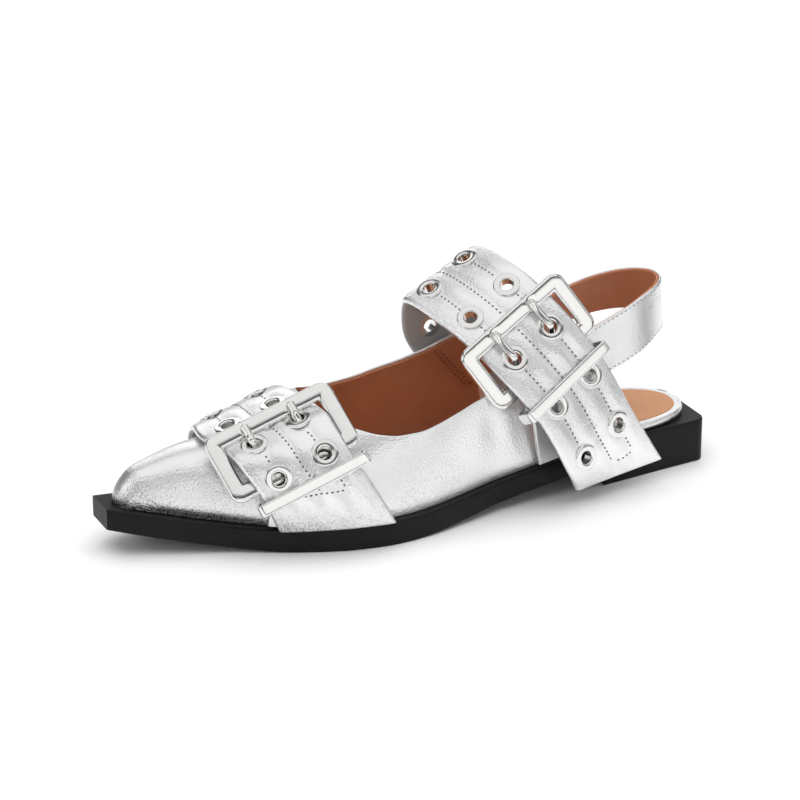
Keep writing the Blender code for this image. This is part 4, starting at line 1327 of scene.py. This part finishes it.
def add_stitches(name, seams, finish, width=STITCH_WIDTH):
    """Beads at the places of some seams: a circle that grows and shrinks along the stitch, as a sine."""
    centres, direction, out = (np.concatenate(part)[:, None, None] for part in zip(*seams))
    along = unit(direction)
    side = unit(np.cross(out, along))
    step = np.linspace(0.0, 1.0, BEAD_STEPS)[:, None, None]
    turn = np.linspace(0.0, 2 * np.pi, BEAD_SIDES, endpoint=False)[None, :, None]
    swell = width * np.sin(np.pi * step)
    run = (step - 0.5) * STITCH_LENGTH
    beads = centres + run * along + swell * np.cos(turn) * side + swell * np.sin(turn) * out
    quads = copied_quads(ring_quads(BEAD_STEPS, BEAD_SIDES), len(centres), BEAD_STEPS * BEAD_SIDES)
    add_mesh(name, beads.reshape(-1, 3), quads, finish)


print("faces of a stitch", len(ring_quads(BEAD_STEPS, BEAD_SIDES)))

# %% [markdown]
# Three seams run along each strap, through its two rows of eyelets and down its middle, and a short one
# crosses the tail. Stitches that would lie under an eyelet are left out.

# %% Strap stitches
THREAD_SINK = 0.05
EYELET_CLEAR = 6.6
SEAM_END = 3.0
TailSeam = namedtuple("TailSeam", "start reach")
VAMP_TAIL = TailSeam(18.5, EYELET_SPREAD / 2)
INSTEP_TAIL = TailSeam(10.0, 0.0)


def strap_stitches(strap, pad, tail):
    """Seams along the grid's nearest columns, broken at the eyelets, and one along a row of the tail."""
    face = pad.grid + pad.out * (pad.high - THREAD_SINK)[..., None]
    along = pad.along[:, 0]
    rows = np.arange(len(along))
    seams = []
    for seam in SEAMS:
        start = max(tail.start, strap.fittings.first_eyelet) if seam > tail.reach else tail.start
        inside = (along > start) & (along < along[-1] - SEAM_END)
        column = np.argmin(np.abs(pad.across - seam), axis=1)
        places = seam_places(face[rows, column][inside], pad.out[rows, column][inside])
        clear = to_eyelets(strap, places[0]) > EYELET_CLEAR
        seams.append([part[clear] for part in places])
    row = np.argmin(np.abs(along - tail.start))
    inner = (pad.across[row] < tail.reach) & (pad.across[row] > -EYELET_SPREAD / 2)
    seams.append(seam_places(face[row, inner], pad.out[row, inner]))
    add_stitches(strap.name + "_stitches", seams, thread)


strap_stitches(vamp, vamp_padding, VAMP_TAIL)
strap_stitches(instep, instep_padding, INSTEP_TAIL)

# %% [markdown]
# The sling is sewn close to both edges, with fine pale thread that shows on its outside. Where its ends are
# sewn in, two seams of brown thread run side by side down the lining of each quarter.

# %% Sling stitches
SLING_SEAM = 1.5
FINE_STITCH = 0.26
LAP_LOW_X = -40.5
LAP_LOW_Z = 34.0
LAP_HIGH_Z = {"lateral": 46.0, "medial": 53.5}
LAP_SLANT = 0.83
LAP_SHIFTS = (0.0, -2.6)
LAP_LIFT = 0.35
LAP_POINTS = 60


def sling_seams():
    """Lines along the columns of the sling's outer face that are nearest to its two seams."""
    seams = []
    for share in (SLING_SEAM / SLING_WIDTH, 1 - SLING_SEAM / SLING_WIDTH):
        column = np.argmin(np.abs(sling_share - share))
        out = sling_out[:, column]
        line = sling_middle[:, column] + out * sling_offset(SLING_THICKNESS / 2)[:, column]
        seams.append(seam_places(line, out))
    return seams


def lap_seams():
    """Slanting lines on the lining of both quarters, two side by side."""
    seams = []
    for side, high_z in LAP_HIGH_Z.items():
        for shift in LAP_SHIFTS:
            z = np.linspace(LAP_LOW_Z, high_z, LAP_POINTS)
            x = LAP_LOW_X + (z - LAP_LOW_Z) * LAP_SLANT + shift
            y = last_side(x, z, side, UPPER_WALL + LAP_LIFT)
            inwards = np.broadcast_to(np.array([0.0, -SIDE_SIGN[side], 0.0]), (LAP_POINTS, 3))
            seams.append(seam_places(np.column_stack([x, y, z]), inwards))
    return seams


add_stitches("sling_stitches_outside", sling_seams(), pale_thread, FINE_STITCH)
add_stitches("lap_stitches", lap_seams(), brown_thread)

# %% [markdown]
# An eyelet is turned from one tube: a rolled rim on the strap's face, a barrel through the hole and a flat
# flange behind. A torus would only give the rim, so the whole half section is drawn and turned round the
# eyelet's axis.

# %% Eyelets
EYELET_OUTER = 5.7
EYELET_HOLE = 2.75
EYELET_RIM = 0.85
RIM_FLATNESS = 0.38
RIM_SINK = 0.15
RIM_CURL = 0.4
RIM_UNDERSIDE = 0.1
RIM_POINTS = 15
BARREL_RADIUS = 4.0
EYELET_FLANGE = 5.0
FLANGE_FRONT = 0.05
FLANGE_RIM = 0.25
FLANGE_BACK = 0.3
EYELET_TURNS = 40


def eyelet_section():
    """Half section as (radius, height): the rolled rim is half a superellipse, the rest is straight."""
    face = STRAP_THICKNESS / 2 - RIM_SINK
    back = -STRAP_THICKNESS / 2
    bend = np.linspace(np.pi, 0.0, RIM_POINTS)
    middle = (EYELET_OUTER + EYELET_HOLE) / 2
    reach = (EYELET_OUTER - EYELET_HOLE) / 2
    rise = (EYELET_RIM + RIM_SINK) * np.sin(bend) ** RIM_FLATNESS
    rim = np.column_stack([middle - reach * np.cos(bend), face + rise])
    barrel_and_flange = [
        (EYELET_OUTER - RIM_CURL, face - RIM_UNDERSIDE),
        (BARREL_RADIUS, face - RIM_UNDERSIDE),
        (BARREL_RADIUS, back - FLANGE_FRONT),
        (EYELET_FLANGE, back - FLANGE_FRONT),
        (EYELET_FLANGE, back - FLANGE_RIM),
        (EYELET_HOLE, back - FLANGE_BACK),
    ]
    return np.concatenate([rim[::-1], barrel_and_flange])[::-1]


def add_eyelets(strap):
    """The section turned once, then set at the axes of every eyelet of a strap."""
    radius, height = eyelet_section().T
    turn = np.linspace(0.0, 2 * np.pi, EYELET_TURNS, endpoint=False)[:, None]
    ring = np.stack([radius * np.cos(turn), radius * np.sin(turn), height + 0 * turn], axis=-1)
    places = strap.eyelets()
    points = np.einsum("rsk,nkc->nrsc", ring, places[:, :3]) + places[:, None, None, 3]
    one = ring_quads(EYELET_TURNS, len(radius), wrap=True)
    quads = copied_quads(one, len(places), EYELET_TURNS * len(radius))
    nodes = [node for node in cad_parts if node.startswith(strap.name + "_eyelet_")]
    add_mesh(strap.name + "_eyelets", points.reshape(-1, 3), quads, nickel, nodes)


add_eyelets(vamp)
add_eyelets(instep)

# %% [markdown]
# A buckle frame is a flat bar bent into a rounded rectangle. The bar's section has soft bevels and a low
# dome. It is carried round the rectangle by insets: each point of the section has its own smaller rectangle.
# That keeps the corners clean, which a curve's bevel would pinch.

# %% Bars bent to frames
FRAME_CORNER_POINTS = 9
FRAME_SIDE_POINTS = 40
BAR_CORNER_POINTS = 6
BAR_SIDE_POINTS = 9
LEAST_CORNER = 0.7


def rounded_rectangle(half_x, half_y, radius, per_corner, per_side):
    """Points of a rectangle with quarter circles at its corners, with more points along each side."""
    turn = np.linspace(0.0, np.pi / 2, per_corner)
    share = np.linspace(0.0, 1.0, per_side)[1:-1, None]
    corners = []
    for quarter, (sx, sy) in enumerate(((1, 1), (-1, 1), (-1, -1), (1, -1))):
        angle = turn + quarter * np.pi / 2
        x = sx * (half_x - radius) + radius * np.cos(angle)
        y = sy * (half_y - radius) + radius * np.sin(angle)
        corners.append(np.stack([x, y], axis=1))
    runs = []
    for corner, after in zip(corners, corners[1:] + corners[:1]):
        runs += [corner, corner[-1] * (1 - share) + after[0] * share]
    return np.concatenate(runs)


def bar_section(wide, thick, bevel, dome):
    """A rectangle with round corners and a domed upper face, as (inset, height) pairs."""
    outline = rounded_rectangle(wide / 2, thick / 2, bevel, BAR_CORNER_POINTS, BAR_SIDE_POINTS)
    crown = dome * (1 - (2 * outline[:, 0] / wide) ** 2) * np.clip(2 * outline[:, 1] / thick, 0.0, 1.0)
    return outline + np.column_stack([np.full(len(outline), wide / 2), crown])


def ring_frame(half_x, half_y, corner, section):
    """Rings of a closed frame: one rounded rectangle for every point of the section."""
    rings = []
    for inset, height in section:
        radius = max(corner - inset, LEAST_CORNER)
        outline = rounded_rectangle(
            half_x - inset, half_y - inset, radius, FRAME_CORNER_POINTS, FRAME_SIDE_POINTS
        )
        rings.append(np.column_stack([outline, np.full(len(outline), height)]))
    return np.stack(rings)


def in_place(points, axes):
    """Points on a fitting's own axes as points of the shoe."""
    return points @ axes[:3] + axes[3]


print("frame helpers ready")

# %% [markdown]
# The frame's front bar lies on the strap and its heel bar under it, so the frame tilts through the strap. Two
# points of the strap, one above and one below, give that tilt. The front bar has two shallow notches where
# the prongs rest.

# %% Buckle frames
BUCKLE_WIDTH = 58.0
BUCKLE_LENGTH = 30.5
BUCKLE_BAR = 5.5
BUCKLE_THICKNESS = 2.2
BUCKLE_CORNER = 5.2
FRONT_BAR_SLACK = 1.9
SHOWN_BAR = 7.0
BAR_BEVEL = 1.05
BAR_DOME = 0.45
NOTCH_DEPTH = 0.55
NOTCH_WIDTH = 1.5
NOTCH_POWER = 4
NOTCH_RUN = 0.5
INNER_EDGE = BUCKLE_LENGTH / 2 - SHOWN_BAR


def buckle_axes(strap):
    """Axes and middle of a frame whose front bar lies on the strap and whose heel bar lies under it."""
    fit = strap.fittings
    reach = STRAP_THICKNESS / 2 + GAP + BUCKLE_THICKNESS / 2
    heel_bar = fit.front_bar - (BUCKLE_LENGTH - BUCKLE_BAR)
    front = strap.point(fit.front_bar, lift=reach + FRONT_BAR_SLACK)
    heel = strap.point(heel_bar, lift=-reach - fit.heel_slack)
    side = strap.frame((fit.front_bar + heel_bar) / 2)[1]
    along = front - heel
    along = unit(along - side * (side @ along))
    return np.stack([along, side, np.cross(along, side), (front + heel) / 2])


def add_buckle(strap):
    """A closed frame with two notches, each a steep bell across the front bar."""
    section = bar_section(SHOWN_BAR, BUCKLE_THICKNESS, BAR_BEVEL, BAR_DOME)
    rings = ring_frame(BUCKLE_LENGTH / 2, BUCKLE_WIDTH / 2, BUCKLE_CORNER, section)
    on_front = share_between(rings[..., 0], INNER_EDGE, INNER_EDGE + NOTCH_RUN)
    off_prong = np.abs(np.abs(rings[..., 1]) - EYELET_SPREAD / 2)
    notch = NOTCH_DEPTH * np.exp(-((off_prong / NOTCH_WIDTH) ** NOTCH_POWER)) * on_front
    rings[..., 2] -= notch * (rings[..., 2] > 0)
    name = strap.name.replace("strap", "buckle_frame")
    add_rings(name + "_bevelled", in_place(rings, buckle_axes(strap)), nickel, [name], wrap=True)


add_buckle(vamp)
add_buckle(instep)

# %% [markdown]
# The prongs are wire, a little wider than it is tall. Each starts at the heel bar under the strap, comes up
# through an eyelet and rests in a notch of the front bar. A circle is carried along that bent path and closes
# as a dome at the tip, which a curve object with a bevel would leave flat.

# %% Prongs
PRONG_RADIUS = 1.15
PRONG_SPREAD = 1.4
PRONG_REACH = 4.8
PRONG_STATIONS = 60
PRONG_SIDES = 16
TIP_DROP = 0.2
TIP_START = 0.2
TIP_ROWS = 3.0
BendRow = namedtuple("BendRow", "along lift")
PRONG_BEND = [
    BendRow(-5.0, -3.4),
    BendRow(-2.6, -2.9),
    BendRow(-1.3, -1.2),
    BendRow(-0.2, 1.2),
    BendRow(1.3, 3.6),
]


def prong_path(strap, axes, y):
    """A smooth path from the heel bar, along a table of lengths and heights at the eyelet, to the tip."""
    fit = strap.fittings
    eye = fit.first_eyelet + fit.prong_pair * fit.eyelet_pitch
    start = BUCKLE_BAR + GAP + PRONG_RADIUS - BUCKLE_LENGTH / 2
    resting = BUCKLE_THICKNESS / 2 + GAP + PRONG_RADIUS
    hinge = in_place(np.array([start, y, 0.0]), axes)
    bar = in_place(np.array([INNER_EDGE, y, resting]), axes)
    tip = in_place(np.array([INNER_EDGE + PRONG_REACH, y, resting - TIP_DROP]), axes)
    bend = [strap.point(eye + row.along, y, row.lift) for row in PRONG_BEND]
    return smooth_path([hinge, *bend, bar, tip], PRONG_STATIONS)


def wire_rings(path, side):
    """A flattened circle carried along a path, with its wide way along a side, and domed at both ends."""
    tangent = unit(np.gradient(path, axis=0))
    up = unit(np.cross(tangent, side))
    left = np.cross(up, tangent)
    turn = np.linspace(0.0, 2 * np.pi, PRONG_SIDES, endpoint=False)
    step = np.arange(len(path))
    radius = PRONG_RADIUS * rounding(np.minimum(step, step[::-1]) + TIP_START, TIP_ROWS)[:, None]
    wide = (PRONG_SPREAD * radius * np.cos(turn))[..., None] * left[:, None]
    tall = (radius * np.sin(turn))[..., None] * up[:, None]
    return with_poles(path[:, None] + wide + tall)


def add_prongs(strap):
    """Two prongs to a buckle, one for each row of eyelets."""
    axes = buckle_axes(strap)
    for number, side in enumerate(PAIR_SIDES, start=1):
        path = prong_path(strap, axes, side * EYELET_SPREAD)
        name = strap.name.replace("strap", f"prong_{number}")
        add_rings(name + "_wire", wire_rings(path, axes[1]), nickel, [name])


add_prongs(vamp)
add_prongs(instep)

# %% [markdown]
# A keeper is a flat metal loop that holds the free tail down on the tab below it. It is the same kind of
# frame as the buckle, stood on edge round the strap, so the same helpers make it.

# %% Keepers
TAB_THICKNESS = 1.6
KEEPER_WIDTH = 49.0
KEEPER_WALL = 1.3
KEEPER_CORNER = 2.0
KEEPER_RIM = 0.9
KEEPER_BEVEL = 0.6
KEEPER_DOME = 0.1
SHOWN_KEEPER = 5.0


def keeper_section():
    """The bar's section stood on edge, so that its dome faces out of the loop."""
    inset, height = bar_section(SHOWN_KEEPER, KEEPER_WALL, KEEPER_BEVEL, KEEPER_DOME).T
    return np.column_stack([KEEPER_WALL / 2 - height, inset - SHOWN_KEEPER / 2])


def add_keeper(strap):
    """A closed frame round the strap and the tab, between a height above them and one below."""
    fit = strap.fittings
    high = STRAP_THICKNESS / 2 + 2 * GAP + KEEPER_RIM
    low = -(STRAP_THICKNESS / 2 + 2 * GAP + TAB_THICKNESS + fit.keeper_slack)
    rings = ring_frame(KEEPER_WIDTH / 2, (high - low) / 2 + KEEPER_WALL, KEEPER_CORNER, keeper_section())
    axes = strap.frame(fit.keeper, lift=(high + low) / 2)[[1, 2, 0, 3]]
    name = strap.name.replace("strap", "keeper")
    add_rings(name + "_loop", in_place(rings, axes), nickel, [name], wrap=True)


add_keeper(vamp)
add_keeper(instep)

# %% [markdown]
# A tab is the short strap that holds a buckle to the shoe. It starts at the heel bar, runs under the tail
# through the keeper and ends on the sole's ledge, bearing on the side of the upper on its way. A few bands
# across it are placed and a smooth path joins them, which bends as a short piece of leather does.

# %% Buckle tabs
TAB_SLACK = 0.45
TAB_WIDTH = 41.0
TAB_EDGE = 0.8
TAB_END_ROWS = 1.0
TAB_ROWS = 70
TAB_COLUMNS = 40
TAB_EASING = (0.1, 0.3, 1.0)
KEEPER_BAR = 4.5
TabFoot = namedtuple("TabFoot", "front back inset")
VAMP_TAB = TabFoot(73.0, 31.0, 2.2)
INSTEP_TAB = TabFoot(-48.5, -90.0, 1.2)


def tab_grid(strap, foot, share):
    """Bands from the heel bar to the ledge, joined by a smooth path and kept off the upper."""
    fit = strap.fittings
    lift = -(STRAP_THICKNESS / 2 + TAB_SLACK + TAB_THICKNESS / 2)
    places = (fit.front_bar - BUCKLE_LENGTH - GAP, fit.keeper, fit.keeper - KEEPER_BAR / 2 - GAP)
    bands = [
        np.array([strap.point(along, (0.5 - at) * TAB_WIDTH, lift) for at in share]) for along in places
    ]
    x = foot.front + (foot.back - foot.front) * share
    height = feather_height(x) + TAB_THICKNESS / 2
    on_ledge = np.column_stack([x, curve(SOLE, "lateral", x) - foot.inset, height])
    lowest = bands[-1]
    bands += [lowest + (on_ledge - lowest) * down for down in TAB_EASING]
    grid = smooth_path(np.reshape(bands, (len(bands), -1)), TAB_ROWS).reshape(TAB_ROWS, -1, 3)
    bearing = last_side(grid[..., 0], grid[..., 2], "lateral", -(TAB_THICKNESS / 2 + 2 * GAP))
    grid[..., 1] = np.maximum(grid[..., 1], bearing)
    return grid


def add_tab(strap, foot):
    """A sheet about the tab's middle face, rounded at its edges and ends."""
    share = round_ends(TAB_EDGE / TAB_WIDTH, TAB_COLUMNS)
    grid = tab_grid(strap, foot, share)
    edge = rounding(np.minimum(share, 1 - share) * TAB_WIDTH, TAB_EDGE)[None, :, None]
    step = np.arange(TAB_ROWS)
    end = rounding(np.minimum(step, step[::-1]), TAB_END_ROWS)[:, None, None]
    half = surface_normals(grid) * TAB_THICKNESS / 2 * edge * end
    name = strap.name.replace("strap", "buckle_tab")
    add_rings(name + "_leather", sheet_rings(grid + half, grid - half), silver, [name])


add_tab(vamp, VAMP_TAB)
add_tab(instep, INSTEP_TAB)

# %% [markdown]
# A product photo is taken on a wide pale table, which fades into the background. One large face is enough.

# %% Floor
FLOOR_HALF = 6.0
FLOOR_SHADE_SCALE = 3.0


def add_floor():
    """A square with a corner at every pair of signs, in two close whites mixed by soft noise."""
    finish = Finish("pale_table")
    shades = finish.noise(FLOOR_SHADE_SCALE)
    tone = finish.colours(shades, (0.92, 0.92, 0.92), (0.94, 0.94, 0.94))
    corners = FLOOR_HALF * np.array([(-1, -1, 0), (1, -1, 0), (1, 1, 0), (-1, 1, 0)])
    mesh = bpy.data.meshes.new("floor")
    mesh.from_pydata(corners.tolist(), [], [(0, 1, 2, 3)])
    mesh.materials.append(finish.surface(base_color=tone, roughness=0.6))
    floor = bpy.data.objects.new("floor", mesh)
    scene.collection.objects.link(floor)


add_floor()
print("floor", 2 * FLOOR_HALF, "m wide")

# %% [markdown]
# Bright metal shows nothing but its surroundings, so the lights are broad and soft: one overhead, one along
# the front, and one at each end and behind. The room between them is dark, which gives the silver its
# contrast. A last lamp whitens the table, and the metal does not mirror it.

# %% Lights
LIGHT_AIM = Vector((0.0, 0.0, 0.04))
ROOM_LIGHT = 0.08
Softbox = namedtuple("Softbox", "name x y z width height power mirrored")
SOFTBOXES = [
    Softbox("overhead", 0.0, 0.08, 1.5, 2.6, 2.36, 16.2, True),
    Softbox("front", -0.12, 1.8, 0.66, 3.0, 0.9, 8.8, True),
    Softbox("toe_side", 1.6, 0.0, 0.7, 1.6, 1.0, 6.0, True),
    Softbox("heel_side", -1.5, 0.5, 0.8, 1.0, 1.0, 2.4, True),
    Softbox("behind", -0.5, -1.6, 0.9, 2.2, 0.8, 8.0, True),
    Softbox("table", 0.0, 0.0, 1.7, 3.2, 2.6, 30.5, False),
]


def add_softbox(box):
    """A rectangle of light that faces the shoe."""
    light = bpy.data.lights.new(box.name, "AREA")
    light.shape = "RECTANGLE"
    light.size = box.width
    light.size_y = box.height
    light.energy = box.power
    lamp = bpy.data.objects.new(box.name, light)
    lamp.location = (box.x, box.y, box.z)
    lamp.rotation_mode = "QUATERNION"
    lamp.rotation_quaternion = (LIGHT_AIM - lamp.location).to_track_quat("-Z", "Y")
    lamp.visible_glossy = box.mirrored
    scene.collection.objects.link(lamp)


def darken_room():
    """An even, weak white from all round."""
    world = bpy.data.worlds.new("studio")
    world.use_nodes = True
    background = world.node_tree.nodes["Background"]
    background.inputs["Color"].default_value = (1.0, 1.0, 1.0, 1.0)
    background.inputs["Strength"].default_value = ROOM_LIGHT
    scene.world = world


for softbox in SOFTBOXES:
    add_softbox(softbox)
darken_room()
scene.view_settings.view_transform = "Standard"
print("softboxes", len(SOFTBOXES))

# %% [markdown]
# Last, the view layer is brought up to date.

# %% Update
bpy.context.view_layer.update()
